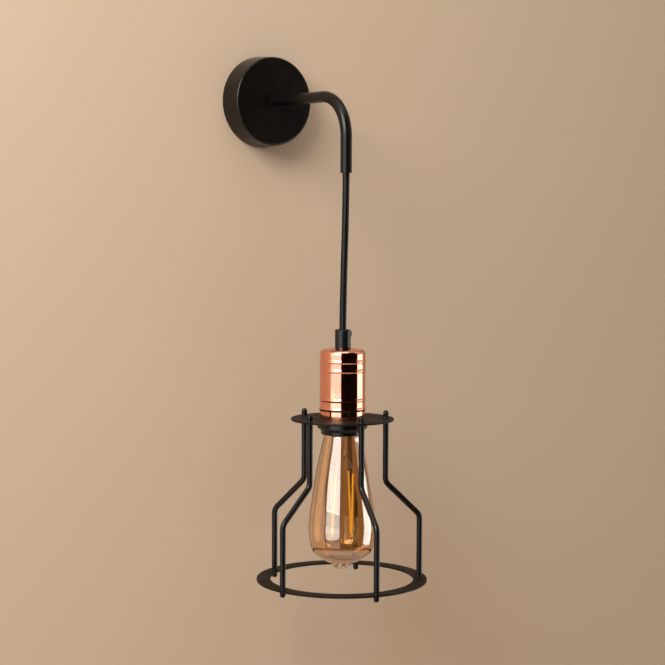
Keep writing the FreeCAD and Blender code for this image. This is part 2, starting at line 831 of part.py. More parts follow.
def holder_terminal_screws():
    screws = []
    seat = insert_top + link_thickness + terminal_size
    tip = core_height() + core_diameter / 2
    for side in (-1, 1):
        place = terminal_screw_place(side)
        head = disc_up(terminal_screw_head, seat, seat + terminal_screw_head_height, place)
        shank = disc_up(terminal_screw_diameter, tip, seat, place)
        screws.append(fused(head, shank))
    return to_lamp(Part.makeCompound(screws))


def holder_core(side):
    """A core from the stripped sheath down into its terminal."""
    knee = terminal_offset - 2 * core_diameter
    points = [point(0, side * core_offset, sheath_bottom),
              point(0, side * core_offset, sheath_bottom - 2 * core_diameter),
              point(0, side * knee, (sheath_bottom + core_height()) / 2),
              point(0, side * knee, core_height()),
              point(0, side * (terminal_offset + terminal_size - lead_gap), core_height())]
    return to_lamp(tube_along(route(points), core_diameter))


def holder_earth_axis():
    """The earth screw's axis, from inside the bridge's leg outwards."""
    height = cup_top - holder_earth_screw_drop
    inner = bridge_half_span - bridge_thickness
    return point(inner, 0, height), point(inner + holder_earth_screw_length, 0, height)


def holder_earth_screw():
    start, end = holder_earth_axis()
    head_start = start - point(holder_earth_screw_head_height, 0, 0)
    head = rod_between(head_start, start, holder_earth_screw_head)
    shank = rod_between(start, end, holder_earth_screw_diameter)
    return to_lamp(fused(head, shank))


def holder_earth_core():
    """The earth core from the stripped sheath to the screw on the bridge."""
    start, _ = holder_earth_axis()
    end = start - point(holder_earth_screw_head_height, 0, 0)
    points = [point(earth_core_offset, 0, sheath_bottom), point(earth_core_offset, 0, end.z), end]
    return to_lamp(tube_along(route(points), core_diameter))


# --- cage ----------------------------------------------------------------------------------------------
def rod_angles():
    return [cage_turn + 360 * i / rod_count for i in range(rod_count)]


def holder_collar():
    """Moulded collar on the insert's neck that clamps the cage's disc from below."""
    inner = insert_diameter / 2
    outer = collar_diameter / 2
    lip = collar_lip_diameter / 2
    edge = collar_edge_radius
    diagonal = edge * math.sqrt(0.5)
    band_bottom = disc_bottom - collar_band
    cone_bottom = band_bottom - collar_cone
    lip_bottom = cone_bottom - collar_lip_height
    body = turned(
        (inner, disc_bottom), (outer - edge, disc_bottom),
        (outer - edge + diagonal, disc_bottom - edge + diagonal, outer, disc_bottom - edge),
        (outer, band_bottom), (lip, cone_bottom), (lip, lip_bottom + edge),
        (lip - edge + diagonal, lip_bottom + edge - diagonal, lip - edge, lip_bottom),
        (inner, lip_bottom))
    return to_lamp(body)


def cage_disc():
    """Flat steel disc that carries the rods, with a hole for the insert's neck."""
    body = disc_up(disc_diameter, disc_bottom, disc_top)
    holes = [disc_up(insert_diameter + 2 * disc_hole_clearance, disc_bottom - TINY, disc_top + TINY)]
    holes.extend(disc_up(rod_diameter, disc_bottom - BOOLEAN_MARGIN, disc_top + BOOLEAN_MARGIN,
                         polar(rod_top_radius, angle)) for angle in rod_angles())
    return to_lamp(one_solid(body.cut(Part.makeCompound(holes))))


def cage_rod(angle):
    """Round bar with domed ends, bent outwards and down again, from above the disc to below the ring."""
    radius = rod_diameter / 2
    top = disc_top + rod_above_disc - radius
    bottom = ring_bottom - rod_below_ring + radius
    points = [polar(rod_top_radius, angle, top),
              polar(rod_top_radius, angle, disc_top - upper_bend_drop),
              polar(rod_bottom_radius, angle, disc_top - lower_bend_drop),
              polar(rod_bottom_radius, angle, bottom)]
    bar = tube_along(route(points, rod_bend_radius), rod_diameter)
    tips = [Part.makeSphere(radius, points[0]), Part.makeSphere(radius, points[-1])]
    return to_lamp(fused(bar, *tips))


def cage_ring():
    """Flat steel ring at the cage's mouth, through which the rods pass."""
    body = disc_up(ring_outer_diameter, ring_bottom, ring_top)
    ring_bore = ring_outer_diameter - 2 * ring_width
    holes = [disc_up(ring_bore, ring_bottom - TINY, ring_top + TINY)]
    holes.extend(disc_up(rod_diameter, ring_bottom - BOOLEAN_MARGIN, ring_top + BOOLEAN_MARGIN,
                         polar(rod_bottom_radius, angle)) for angle in rod_angles())
    return to_lamp(one_solid(body.cut(Part.makeCompound(holes))))


# --- bulb ----------------------------------------------------------------------------------------------
def glass_curve(inset):
    """The side of the glass as one smooth curve, moved inwards by an inset."""
    curve = Part.BSplineCurve()
    sides = [point(neck_diameter / 2, 0, 0)] + [point(radius, 0, -drop) for radius, drop in glass_side]
    sides.append(point(nipple_tip_diameter / 2, 0, -glass_bottom_drop))
    curve.interpolate(sides)
    if inset == 0:
        moved = sides
    else:
        moved = []
        for side in sides:
            tangent = curve.tangent(curve.parameter(side))[0]
            inward = point(tangent.z, 0, -tangent.x)
            moved.append(side + inward * inset)
    for side in moved:
        side.z += cap_bottom
    smooth = Part.BSplineCurve()
    smooth.interpolate(moved)
    return smooth.toShape(), moved


def bulb_glass():
    """Blown glass envelope with an exhaust tip at the bottom, open inside the cap."""
    outside, outer_points = glass_curve(0)
    inside, inner_points = glass_curve(glass_wall)
    collar_top = cap_bottom + neck_inside_cap
    collar_radius = cap_core_diameter / 2 - cap_wall
    outer_neck = outer_points[0]
    inner_neck = inner_points[0]
    outer_foot = outer_points[-1]
    inner_foot = inner_points[-1]
    tip_x, tip_z, _, tip_low = dome(outer_foot.x, outer_foot.z, -nipple_tip_height)
    tip_middle = point(tip_x, 0, tip_z)
    tip_end = point(0, 0, tip_low)
    lines = [
        (point(0, 0, inner_foot.z), inner_foot),
        (inner_neck, point(collar_radius - glass_wall, 0, cap_bottom)),
        (point(collar_radius - glass_wall, 0, cap_bottom), point(collar_radius - glass_wall, 0, collar_top)),
        (point(collar_radius - glass_wall, 0, collar_top), point(collar_radius, 0, collar_top)),
        (point(collar_radius, 0, collar_top), point(collar_radius, 0, cap_bottom)),
        (point(collar_radius, 0, cap_bottom), outer_neck),
        (tip_end, point(0, 0, inner_foot.z)),
    ]
    edges = [Part.LineSegment(start, end).toShape() for start, end in lines]
    edges.append(Part.Arc(outer_foot, tip_middle, tip_end).toShape())
    edges.extend([outside, inside])
    section = Part.Face(Part.Wire(Part.__sortEdges__(edges)))
    return to_lamp(section.revolve(ORIGIN, UP_AXIS, 360))


def bulb_cap():
    """Threaded metal cap: a thin sleeve with a helical ridge."""
    outer = cap_core_diameter / 2
    inner = outer - cap_wall
    shoulder = cap_top_diameter / 2
    sleeve = turned(
        (inner, cap_bottom), (outer, cap_bottom), (outer, cap_top - thread_depth), (shoulder, cap_top),
        (shoulder - cap_wall, cap_top), (inner, cap_top - thread_depth))
    ridge = thread_ridge(outer, thread_depth, thread_base, thread_crest, cap_thread_bottom(), thread_turns)
    core = disc_up(2 * inner + cap_wall, cap_bottom - cap_length, cap_top + cap_length)
    return to_lamp(fused(sleeve, ridge.cut(core)))


def bulb_insulator():
    """Dark glass cone between the cap and its centre contact."""
    wide = cap_top_diameter / 2 - cap_wall
    narrow = contact_button_diameter / 2
    body = turned((0, cap_insulator_top), (narrow, cap_insulator_top), (wide, cap_top),
                  (wide, cap_top - thread_depth), (0, cap_top - thread_depth))
    return to_lamp(body)


def bulb_centre_contact():
    """Solder button on top of the insulator."""
    radius = contact_button_diameter / 2
    rim = contact_button_height / 3
    body = turned((0, cap_insulator_top), (radius, cap_insulator_top), (radius, cap_insulator_top + rim),
                  dome(radius, cap_insulator_top + rim, contact_button_height - rim))
    return to_lamp(body)


def stem_bottom():
    return cap_bottom + neck_inside_cap - stem_length


def bulb_stem():
    """Glass stem: a flare on the neck's rim, a tube and a thin rod down the middle of the bulb."""
    top = cap_bottom + neck_inside_cap
    flare = cap_core_diameter / 2 - cap_wall - glass_wall
    tube = stem_tube_diameter / 2
    thin = stem_rod_diameter / 2
    bottom = stem_bottom()
    tip = bottom - stem_rod_length
    body = turned(
        (0, top), (flare, top), (flare, top - glass_wall), (tube, top - stem_flare_height),
        (tube, bottom + stem_neck_height), (thin, bottom), (thin, tip + thin), dome(thin, tip + thin, -thin))
    return to_lamp(body)


def filament_ends(index):
    """Upper and lower end of one filament. The lower ends are turned a little round the bulb's axis."""
    angle = filament_turn + 360 * index / filament_count
    top = cap_bottom - filament_drop
    upper = polar(filament_top_radius, angle, top)
    lower = polar(filament_bottom_radius, angle + filament_twist, top - filament_length)
    return upper, lower


def bulb_filaments():
    """Long coated sticks that stand round the stem."""
    sticks = []
    for index in range(filament_count):
        upper, lower = filament_ends(index)
        sticks.append(rod_between(upper, lower, filament_diameter))
    return to_lamp(Part.makeCompound(sticks))


def bulb_support_wires():
    """Wires from the stem to the ends of the filaments: straight above, turned up a little below."""
    wires = []
    for index in range(filament_count):
        upper, lower = filament_ends(index)
        wires.append(support_wire(upper, stem_bottom() + stem_tube_diameter, stem_tube_diameter / 2))
        wires.append(support_wire(lower, lower.z - 2 * filament_diameter, stem_rod_diameter / 2))
    ends = Part.makeCompound([bulb_stem(), bulb_filaments()])
    ends.translate(-lamp_axis)
    return to_lamp(Part.makeCompound([one_solid(wire.cut(ends)) for wire in wires]))


def support_wire(end, height, core):
    """A thin wire from the side of the stem to the end face of a filament."""
    angle = math.degrees(math.atan2(end.y, end.x))
    return rod_between(polar(core, angle, height), end, support_wire_diameter)


# --- everything, written out -----------------------------------------------------------------------------
def all_parts():
    parts = {
        "wall_bracket": wall_bracket(),
        "bracket_earth_screw": bracket_earth_screw(),
        "canopy": canopy(),
        "canopy_grub_screws": grub_screws(),
        "terminal_block": terminal_block(),
        "terminal_barrels": terminal_barrels(),
        "terminal_screws": terminal_screws(),
        "terminal_block_screw": block_screw(),
        "canopy_lead_earth": canopy_lead(0),
        "canopy_lead_neutral": canopy_lead(1),
        "canopy_lead_live": canopy_lead(2),
        "bracket_earth_lead": bracket_earth_lead(),
        "arm_tube": arm_tube(),
        "arm_nipple": arm_nipple(),
        "arm_washer": arm_washer(),
        "arm_nut": arm_nut(),
        "mouth_bush": mouth_bush(),
        "cord_in_arm": cord_in_arm(),
        "cord_bend": cord_bend(),
        "hanging_cord": hanging_cord(),
        "cord_in_holder": cord_in_holder(),
        "cord_grip": cord_grip(),
        "cord_grip_screw": cord_grip_screw(),
        "lampholder_cup": lampholder_cup(),
        "holder_bridge": holder_bridge(),
        "bridge_screws": bridge_screws(),
        "holder_nut": holder_nut(),
        "holder_insert": holder_insert(),
        "thread_shell": thread_shell(),
        "centre_contact": centre_contact(),
        "neutral_link": neutral_link(),
        "holder_terminals": holder_terminals(),
        "holder_terminal_screws": holder_terminal_screws(),
        "holder_core_live": holder_core(1),
        "holder_core_neutral": holder_core(-1),
        "holder_earth_screw": holder_earth_screw(),
        "holder_core_earth": holder_earth_core(),
        "holder_collar": holder_collar(),
        "cage_disc": cage_disc(),
        "cage_ring": cage_ring(),
        "bulb_glass": bulb_glass(),
        "bulb_cap": bulb_cap(),
        "bulb_insulator": bulb_insulator(),
        "bulb_centre_contact": bulb_centre_contact(),
        "bulb_stem": bulb_stem(),
        "bulb_filaments": bulb_filaments(),
        "bulb_support_wires": bulb_support_wires(),
    }
    for number, angle in enumerate(rod_angles(), start=1):
        parts["cage_rod_%d" % number] = cage_rod(angle)
    return parts


def main():
    os.makedirs("parts", exist_ok=True)
    for name, shape in all_parts().items():
        if not shape.isValid():
            print("not valid:", name)
        box = shape.BoundBox
        print("%-24s %2d solid  volume %10.2f  x %7.2f %7.2f  y %8.2f %8.2f  z %8.2f %8.2f"
              % (name, len(shape.Solids), shape.Volume, box.XMin, box.XMax, box.YMin, box.YMax,
                 box.ZMin, box.ZMax))
        shape.exportStep(os.path.join("parts", name + ".step"))


main()
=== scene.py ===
# %% [markdown]
# # A cage wall light
#
# The real lamp hangs on the wall by a round black canopy. A bent tube carries a short black cord, and
# from the cord hang a copper lampholder, a cage of bent black rods and a long amber bulb. The packed
# model already gives every part its place and its size, in metres. This lesson adds what the eye looks
# for: a cord that hangs as a cord does, spun copper, blown glass, welds, and a finish for every surface.

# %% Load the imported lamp
import json
import math

import bmesh
import bpy
from mathutils import Matrix, Vector, noise


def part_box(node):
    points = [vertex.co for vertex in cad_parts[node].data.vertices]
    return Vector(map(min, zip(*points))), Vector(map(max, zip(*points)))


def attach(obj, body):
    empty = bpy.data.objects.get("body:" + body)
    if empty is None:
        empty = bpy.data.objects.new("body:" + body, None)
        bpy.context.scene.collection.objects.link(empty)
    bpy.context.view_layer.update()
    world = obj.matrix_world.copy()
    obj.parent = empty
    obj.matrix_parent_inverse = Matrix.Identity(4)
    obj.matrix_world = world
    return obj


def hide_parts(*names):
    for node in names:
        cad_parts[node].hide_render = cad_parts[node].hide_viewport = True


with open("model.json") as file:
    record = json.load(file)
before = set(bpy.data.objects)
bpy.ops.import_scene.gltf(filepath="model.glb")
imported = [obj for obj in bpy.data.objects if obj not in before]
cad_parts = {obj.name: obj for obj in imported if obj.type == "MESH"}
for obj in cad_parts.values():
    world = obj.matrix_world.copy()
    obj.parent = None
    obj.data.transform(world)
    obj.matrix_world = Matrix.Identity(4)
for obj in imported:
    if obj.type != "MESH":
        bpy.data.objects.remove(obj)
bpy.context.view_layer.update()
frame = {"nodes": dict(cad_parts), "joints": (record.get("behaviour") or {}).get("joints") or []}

MM = 0.001

# %% [markdown]
# ## The camera
#
# A picture of a lamp on a wall is taken with a long lens from a few steps away, so that the canopy and
# the cage keep their proportions. The camera stands to the left of the lamp and looks a little downwards.
# It could be aimed with a Track To constraint, but its turn is built from three directions here, because
# then the small tilt of a hand-held picture is one more rotation.

# %% Place the camera
VIEW_YAW = math.radians(34.994)
VIEW_PITCH = math.radians(-4.15)
VIEW_TILT = math.radians(0.25)
VIEW_PLACE = Vector((-0.8452, -1.3244, -0.1005))
LENS_MM = 90.64
SENSOR_MM = 36.0

camera_data = bpy.data.cameras.new("camera")
camera_data.lens = LENS_MM
camera_data.sensor_width = SENSOR_MM
camera = bpy.data.objects.new("camera", camera_data)
bpy.context.scene.collection.objects.link(camera)

ahead = Vector((math.sin(VIEW_YAW) * math.cos(VIEW_PITCH), math.cos(VIEW_YAW) * math.cos(VIEW_PITCH),
                math.sin(VIEW_PITCH)))
level_right = Vector((math.cos(VIEW_YAW), -math.sin(VIEW_YAW), 0))
level_up = level_right.cross(ahead)
right = level_right * math.cos(VIEW_TILT) + level_up * math.sin(VIEW_TILT)
up = level_up * math.cos(VIEW_TILT) - level_right * math.sin(VIEW_TILT)
turn = Matrix((right, up, -ahead)).transposed()
camera.matrix_world = Matrix.Translation(VIEW_PLACE) @ turn.to_4x4()
bpy.context.scene.camera = camera
print("camera looks along", [round(c, 3) for c in ahead])

# %% [markdown]
# ## Helpers for node trees
#
# Every finish and every repeated form below is a node tree. Building one means adding nodes, setting their
# fields and joining sockets, so one short helper does all three. A second one starts a reusable group with
# named inputs and outputs, and two more save typing for the nodes that are used most, Math and Vector Math.
# The cell after them holds what the trees that make forms have in common.

# %% Helpers for node trees
def add(tree, kind, feeds=None, **fields):
    """Adds a node, sets its fields, and gives each named input a value or another node's output."""
    node = tree.nodes.new(kind)
    for field, value in fields.items():
        setattr(node, field, value)
    for name, value in (feeds or {}).items():
        socket = node.inputs[name]
        if isinstance(value, bpy.types.NodeSocket):
            tree.links.new(value, socket)
        else:
            socket.default_value = value
    return node


def start_group(name, kind, inputs, outputs):
    """A node group with named sockets. Inputs are (name, socket type, default), outputs (name, type)."""
    tree = bpy.data.node_groups.new(name, kind)
    for label, socket_type, default in inputs:
        socket = tree.interface.new_socket(label, in_out="INPUT", socket_type=socket_type)
        if default is not None:
            socket.default_value = default
    for label, socket_type in outputs:
        tree.interface.new_socket(label, in_out="OUTPUT", socket_type=socket_type)
    return tree, add(tree, "NodeGroupInput").outputs, add(tree, "NodeGroupOutput")


def maths(tree, operation, a, b=0.0, clamp=False):
    """One Math node, given back as its output."""
    return add(tree, "ShaderNodeMath", {0: a, 1: b}, operation=operation, use_clamp=clamp).outputs[0]


def vectors(tree, operation, **feeds):
    """One Vector Math node, given back as its output. Its inputs are called a, b and scale here."""
    names = {"a": 0, "b": 1, "scale": "Scale"}
    return add(tree, "ShaderNodeVectorMath", {names[key]: value for key, value in feeds.items()},
               operation=operation).outputs[0]


# %% Helpers for trees that make forms
def around(tree, radius, angle, height):
    """The point at this radius, angle and height round an upright axis through the origin."""
    return add(tree, "ShaderNodeCombineXYZ", {
        "X": maths(tree, "MULTIPLY", radius, maths(tree, "COSINE", angle)),
        "Y": maths(tree, "MULTIPLY", radius, maths(tree, "SINE", angle)), "Z": height}).outputs[0]


def angle_of_each(tree, given):
    """Spreads numbered points evenly round a circle. Gives each point's number and its angle."""
    number = add(tree, "GeometryNodeInputIndex").outputs[0]
    share = maths(tree, "DIVIDE", maths(tree, "MULTIPLY", number, 2 * math.pi), given["Count"])
    return number, maths(tree, "ADD", share, given["Turn"])


def push_out(tree, form, height):
    """Moves a form's surface outwards by a height."""
    normal = add(tree, "GeometryNodeInputNormal").outputs[0]
    offset = vectors(tree, "SCALE", a=normal, scale=height)
    return add(tree, "GeometryNodeSetPosition", {"Geometry": form, "Offset": offset}).outputs[0]


def end_tree(tree, out, form, finish=None):
    """Makes instances real, shades the form smooth, sets its finish, and joins it to the group's output."""
    real = add(tree, "GeometryNodeRealizeInstances", {"Geometry": form})
    last = add(tree, "GeometryNodeSetShadeSmooth", {"Geometry": real.outputs[0]})
    if finish is not None:
        last = add(tree, "GeometryNodeSetMaterial", {"Geometry": last.outputs[0], "Material": finish})
    tree.links.new(last.outputs[0], out.inputs[0])
    return tree


# %% [markdown]
# ## Places that several pieces share
#
# The lampholder, the bulb and the cage all stand on one upright axis. The record's joints say where it
# is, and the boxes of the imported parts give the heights, so no place is typed twice.

# %% Read the shared places
joint_place = {joint["name"]: Vector(joint["pos_m"]) for joint in frame["joints"] if "pos_m" in joint}
cord_top = joint_place["swing_sideways"]
lamp_point = joint_place["lamp_twist"]
lamp_axis = Vector((lamp_point.x, lamp_point.y, 0))
cup_low, cup_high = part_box("lampholder_cup")
disc_low, disc_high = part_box("cage_disc")
ring_low, ring_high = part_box("cage_ring")
cap_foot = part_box("bulb_cap")[0].z
print("lamp axis at", [round(c * 1000, 2) for c in lamp_axis], "mm, cup top at", round(cup_high.z * 1000, 2))

# %% [markdown]
# ## The cord
#
# About 136 mm of round flex hangs between the arm's mouth and the grip. It leaves the arm straight down,
# and the grip holds it straight, but the grip sits 2 mm to the left of the mouth, so between them the
# cord makes a very shallow S. The route is one NURBS spline. Its tube could be a bevelled curve, but
# Geometry Nodes sweep a ring along it here, so that the twist of the cores can show faintly through the
# sheath.

# %% Draw the cord's route
CORD_DIAMETER = 6.2 * MM
route_points = [
    cord_top,
    Vector((cord_top.x, cord_top.y, -0.0900)),
    Vector((-0.0009, -0.1361, -0.1350)),
    Vector((lamp_point.x, lamp_point.y, -0.1820)),
    lamp_point,
]


def nurbs_line(name, points):
    """A curve object with one smooth NURBS spline on these control points."""
    data = bpy.data.curves.new(name, "CURVE")
    data.dimensions = "3D"
    data.resolution_u = 24
    spline = data.splines.new("NURBS")
    spline.points.add(len(points) - 1)
    for spot, place in zip(spline.points, points):
        spot.co = (*place, 1)
    spline.order_u = 3
    spline.use_endpoint_u = True
    line = bpy.data.objects.new(name, data)
    bpy.context.scene.collection.objects.link(line)
    return line


def points_of(line):
    """The places that a curve with no bevel passes through, as Blender works them out."""
    ready = line.evaluated_get(bpy.context.evaluated_depsgraph_get())
    mesh = bpy.data.meshes.new_from_object(ready)
    places = [vertex.co.copy() for vertex in mesh.vertices]
    bpy.data.meshes.remove(mesh)
    return places


cord_line = nurbs_line("cord_line", route_points)
cord_path = points_of(cord_line)
cord_length = sum((b - a).length for a, b in zip(cord_path, cord_path[1:]))
print("the cord is", round(cord_length * 1000, 1), "mm long")

# %% [markdown]
# ## From a tree to a plain mesh
#
# A Geometry Nodes tree is tried out live as a modifier, but the finished piece has to be a plain mesh at
# the origin. This helper puts the tree on an object, sets its inputs by their identifiers, takes the
# result as a new mesh, and takes the modifier away. It also checks which way the faces look: a closed
# form has a positive volume only when they all look outwards.

# %% Helper that bakes a tree
def turn_faces_out(mesh):
    """Turns every face round if the form's volume comes out negative. Gives the volume in cubic metres."""
    body = bmesh.new()
    body.from_mesh(mesh)
    volume = body.calc_volume(signed=True)
    if volume < 0:
        bmesh.ops.reverse_faces(body, faces=body.faces)
        body.to_mesh(mesh)
    body.free()
    return abs(volume)


def bake(name, source, tree, values):
    """Runs a tree on the source object and leaves a plain mesh object in its place."""
    modifier = source.modifiers.new(name, "NODES")
    modifier.node_group = tree
    for item in tree.interface.items_tree:
        if item.in_out == "INPUT" and item.name in values:
            modifier[item.identifier] = values[item.name]
    ready = source.evaluated_get(bpy.context.evaluated_depsgraph_get())
    mesh = bpy.data.meshes.new_from_object(ready)
    mesh.name = name
    source.modifiers.clear()
    bpy.data.objects.remove(source)
    piece = bpy.data.objects.new(name, mesh)
    bpy.context.scene.collection.objects.link(piece)
    volume = turn_faces_out(mesh)
    print(f"{name}: {len(mesh.polygons)} faces, {volume * 1e6:.2f} ml")
    return piece


def finish_called(name):
    """The material of that name, made empty if no cell has filled it yet."""
    return bpy.data.materials.get(name) or bpy.data.materials.new(name)


# %% Sweep the cord's sheath along its route
def sheath_tree():
    """A tube along a curve, with the faint spiral of three twisted cores pushed through its surface."""
    tree, given, out = start_group(
        "sheath_along_a_line", "GeometryNodeTree",
        [("Line", "NodeSocketGeometry", None), ("Radius", "NodeSocketFloat", 0.003),
         ("Lay", "NodeSocketFloat", 0.06), ("Rise", "NodeSocketFloat", 0.0),
         ("Finish", "NodeSocketMaterial", None)],
        [("Sheath", "NodeSocketGeometry")])
    even = add(tree, "GeometryNodeResampleCurve", {"Curve": given["Line"], "Count": 140})
    along = add(tree, "GeometryNodeSplineParameter").outputs
    marked = add(tree, "GeometryNodeStoreNamedAttribute",
                 {"Geometry": even.outputs[0], "Name": "along", "Value": along["Length"]},
                 data_type="FLOAT", domain="POINT")
    ring = add(tree, "GeometryNodeCurvePrimitiveCircle", {"Resolution": 40, "Radius": given["Radius"]})
    ring_marked = add(tree, "GeometryNodeStoreNamedAttribute",
                      {"Geometry": ring.outputs[0], "Name": "around", "Value": along["Factor"]},
                      data_type="FLOAT", domain="POINT")
    tube = add(tree, "GeometryNodeCurveToMesh",
               {"Curve": marked.outputs[0], "Profile Curve": ring_marked.outputs[0], "Fill Caps": True})
    where = add(tree, "GeometryNodeInputNamedAttribute", {"Name": "along"}, data_type="FLOAT").outputs[0]
    side = add(tree, "GeometryNodeInputNamedAttribute", {"Name": "around"}, data_type="FLOAT").outputs[0]
    spiral = maths(tree, "SUBTRACT", maths(tree, "MULTIPLY", side, 3.0),
                   maths(tree, "DIVIDE", where, given["Lay"]))
    wave = maths(tree, "COSINE", maths(tree, "MULTIPLY", spiral, 2 * math.pi))
    lower = maths(tree, "MULTIPLY", maths(tree, "SUBTRACT", wave, 1.0), given["Rise"])
    return end_tree(tree, out, push_out(tree, tube.outputs[0], lower), given["Finish"])


hanging_flex = bake("cord", cord_line, sheath_tree(), {
    "Radius": CORD_DIAMETER / 2, "Lay": 0.055, "Rise": 0.04 * MM, "Finish": finish_called("cord_sheath")})
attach(hanging_flex, "cord")
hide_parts("hanging_cord")

# %% [markdown]
# ## Turned forms
#
# A spun cup, a blown bulb and its glass stem have one rule in common: a profile goes round an axis.
# Blender has a Screw modifier for this. A tree is used instead, because it can bend a grid of known size:
# one side of the grid follows the profile's points, the other goes round the axis, and the seam and the
# poles are closed by Merge by Distance.

# %% The tree that turns a profile round an axis
SEAM_GAP = 0.002 * MM


def turning_tree():
    """Bends a grid round an upright axis so that its columns follow the profile's points."""
    tree, given, out = start_group(
        "turned_form", "GeometryNodeTree",
        [("Profile", "NodeSocketGeometry", None), ("Steps", "NodeSocketInt", 96),
         ("Axis", "NodeSocketVector", (0, 0, 0)), ("Finish", "NodeSocketMaterial", None)],
        [("Form", "NodeSocketGeometry")])
    count = add(tree, "GeometryNodeAttributeDomainSize",
                {"Geometry": given["Profile"]}).outputs["Point Count"]
    grid = add(tree, "GeometryNodeMeshGrid", {"Size X": 1.0, "Size Y": 1.0, "Vertices X": count,
                                              "Vertices Y": given["Steps"]})
    kept = add(tree, "GeometryNodeStoreNamedAttribute",
               {"Geometry": grid.outputs["Mesh"], "Name": "UVMap", "Value": grid.outputs["UV Map"]},
               data_type="FLOAT2", domain="CORNER")
    place = add(tree, "GeometryNodeInputPosition").outputs[0]
    spot = add(tree, "ShaderNodeSeparateXYZ", {0: place}).outputs
    last = maths(tree, "SUBTRACT", count, 1.0)
    row = maths(tree, "ROUND", maths(tree, "MULTIPLY", maths(tree, "ADD", spot["X"], 0.5), last))
    angle = maths(tree, "MULTIPLY", maths(tree, "ADD", spot["Y"], 0.5), 2 * math.pi)
    profile = add(tree, "GeometryNodeSampleIndex",
                  {"Geometry": given["Profile"], "Value": place, "Index": row},
                  data_type="FLOAT_VECTOR", domain="POINT").outputs[0]
    part = add(tree, "ShaderNodeSeparateXYZ", {0: profile}).outputs
    placed = vectors(tree, "ADD", a=around(tree, part["X"], angle, part["Z"]), b=given["Axis"])
    moved = add(tree, "GeometryNodeSetPosition", {"Geometry": kept.outputs[0], "Position": placed})
    closed = add(tree, "GeometryNodeMergeByDistance", {"Geometry": moved.outputs[0], "Distance": SEAM_GAP})
    return end_tree(tree, out, closed.outputs[0], given["Finish"])


turned_form = turning_tree()


def profile_object(points):
    """A line of vertices, radius along X and height along Z, for the tree to read."""
    mesh = bpy.data.meshes.new("profile")
    mesh.from_pydata([(radius, 0, height) for radius, height in points],
                     [(i, i + 1) for i in range(len(points) - 1)], [])
    line = bpy.data.objects.new("profile", mesh)
    bpy.context.scene.collection.objects.link(line)
    return line


def rounded(corners, steps=6, beside=0.35 * MM):
    """A profile from corners (radius, height, rounding), with points close beside each corner to hold it."""
    line = []
    for i, (radius, height, rounding) in enumerate(corners):
        here = Vector((radius, height))
        if rounding == 0 or i in (0, len(corners) - 1):
            line.append(here)
            continue
        back = Vector(corners[i - 1][:2]) - here
        onward = Vector(corners[i + 1][:2]) - here
        half = back.angle(onward) / 2
        reach = rounding / math.tan(half)
        centre = here + (back.normalized() + onward.normalized()).normalized() * rounding / math.sin(half)
        first = here + back.normalized() * reach - centre
        last = here + onward.normalized() * reach - centre
        if back.length > reach + 2 * beside:
            line.append(centre + first + back.normalized() * beside)
        sweep = first.angle_signed(last)
        for step in range(steps + 1):
            line.append(centre + Matrix.Rotation(-sweep * step / steps, 2) @ first)
        if onward.length > reach + 2 * beside:
            line.append(centre + last + onward.normalized() * beside)
    return [(point.x, point.y) for point in line]


# %% [markdown]
# ## The copper cup
#
# The cup is spun from thin sheet: a low crown with a seat and a hole for the grip, a rounded shoulder,
# and four rolled beads that stiffen its side. The beads catch thin lines of light, so each one is a real
# swelling in the profile. A bump map would be cheaper, but it would not bend the reflections at the cup's
# edge.

# %% Spin the cup
CUP_RADIUS = 20.0 * MM
CUP_WALL = 1.0 * MM
CUP_HOLE = 5.0 * MM
SHOULDER = 4.0 * MM
CROWN_RISE = 2.3 * MM
SEAT_RADIUS = 7.05 * MM
BEAD_HEIGHT = 3.2 * MM
BEAD_RISE = 0.55 * MM
BEAD_STEPS = 12
BEAD_MARGIN = 0.5 * MM
SEAT_EDGE, CROWN_EDGE, FOOT_EDGE = 0.02 * MM, 0.4 * MM, 0.3 * MM
SHOULDER_RISE = 0.1 * MM
BEAD_DROPS = [8.0 * MM, 16.0 * MM, 41.5 * MM, 49.5 * MM]


def cup_profile():
    """Seat of the grip, low crown, shoulder, beaded side, foot, and back up the inside."""
    top, foot = cup_high.z, cup_low.z
    outside = rounded([(CUP_HOLE, top, 0), (SEAT_RADIUS, top, SEAT_EDGE),
                       (SEAT_RADIUS, top + CROWN_RISE, CROWN_EDGE),
                       (CUP_RADIUS, top + SHOULDER_RISE, SHOULDER), (CUP_RADIUS, top - 6 * MM, 0)], 16)
    for drop in BEAD_DROPS:
        outside.append((CUP_RADIUS, top - drop + BEAD_MARGIN))
        for step in range(BEAD_STEPS + 1):
            share = step / BEAD_STEPS
            rise = BEAD_RISE * math.sin(math.pi * share) ** 1.2
            outside.append((CUP_RADIUS + rise, top - drop - BEAD_HEIGHT * share))
        outside.append((CUP_RADIUS, top - drop - BEAD_HEIGHT - BEAD_MARGIN))
    inner = CUP_RADIUS - CUP_WALL
    inside = rounded([(CUP_RADIUS, foot + 2 * MM, 0), (CUP_RADIUS, foot, FOOT_EDGE),
                      (inner, foot, FOOT_EDGE), (inner, top - CUP_WALL, SHOULDER - CUP_WALL),
                      (CUP_HOLE, top - CUP_WALL, FOOT_EDGE), (CUP_HOLE, top, 0)], 8)
    return outside + inside


cup = bake("spun_cup", profile_object(cup_profile()), turned_form,
           {"Steps": 193, "Axis": lamp_axis, "Finish": finish_called("copper")})
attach(cup, "lamp")
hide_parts("lampholder_cup")

# %% [markdown]
# ## The blown bulb
#
# The envelope is blown in a mould from a tube of tinted glass. It is thin, its two surfaces run side by
# side, and it is closed at the bottom by the little knot that was melted when the air had been pumped
# out. Both surfaces are modelled, because glass with one surface bends light as a solid lump would. The
# knot was pulled off by hand, so it is pushed out of round with smooth noise afterwards. Blender's noise
# starts from the clock unless it gets a seed, so it has one here, and the knot is the same each time.

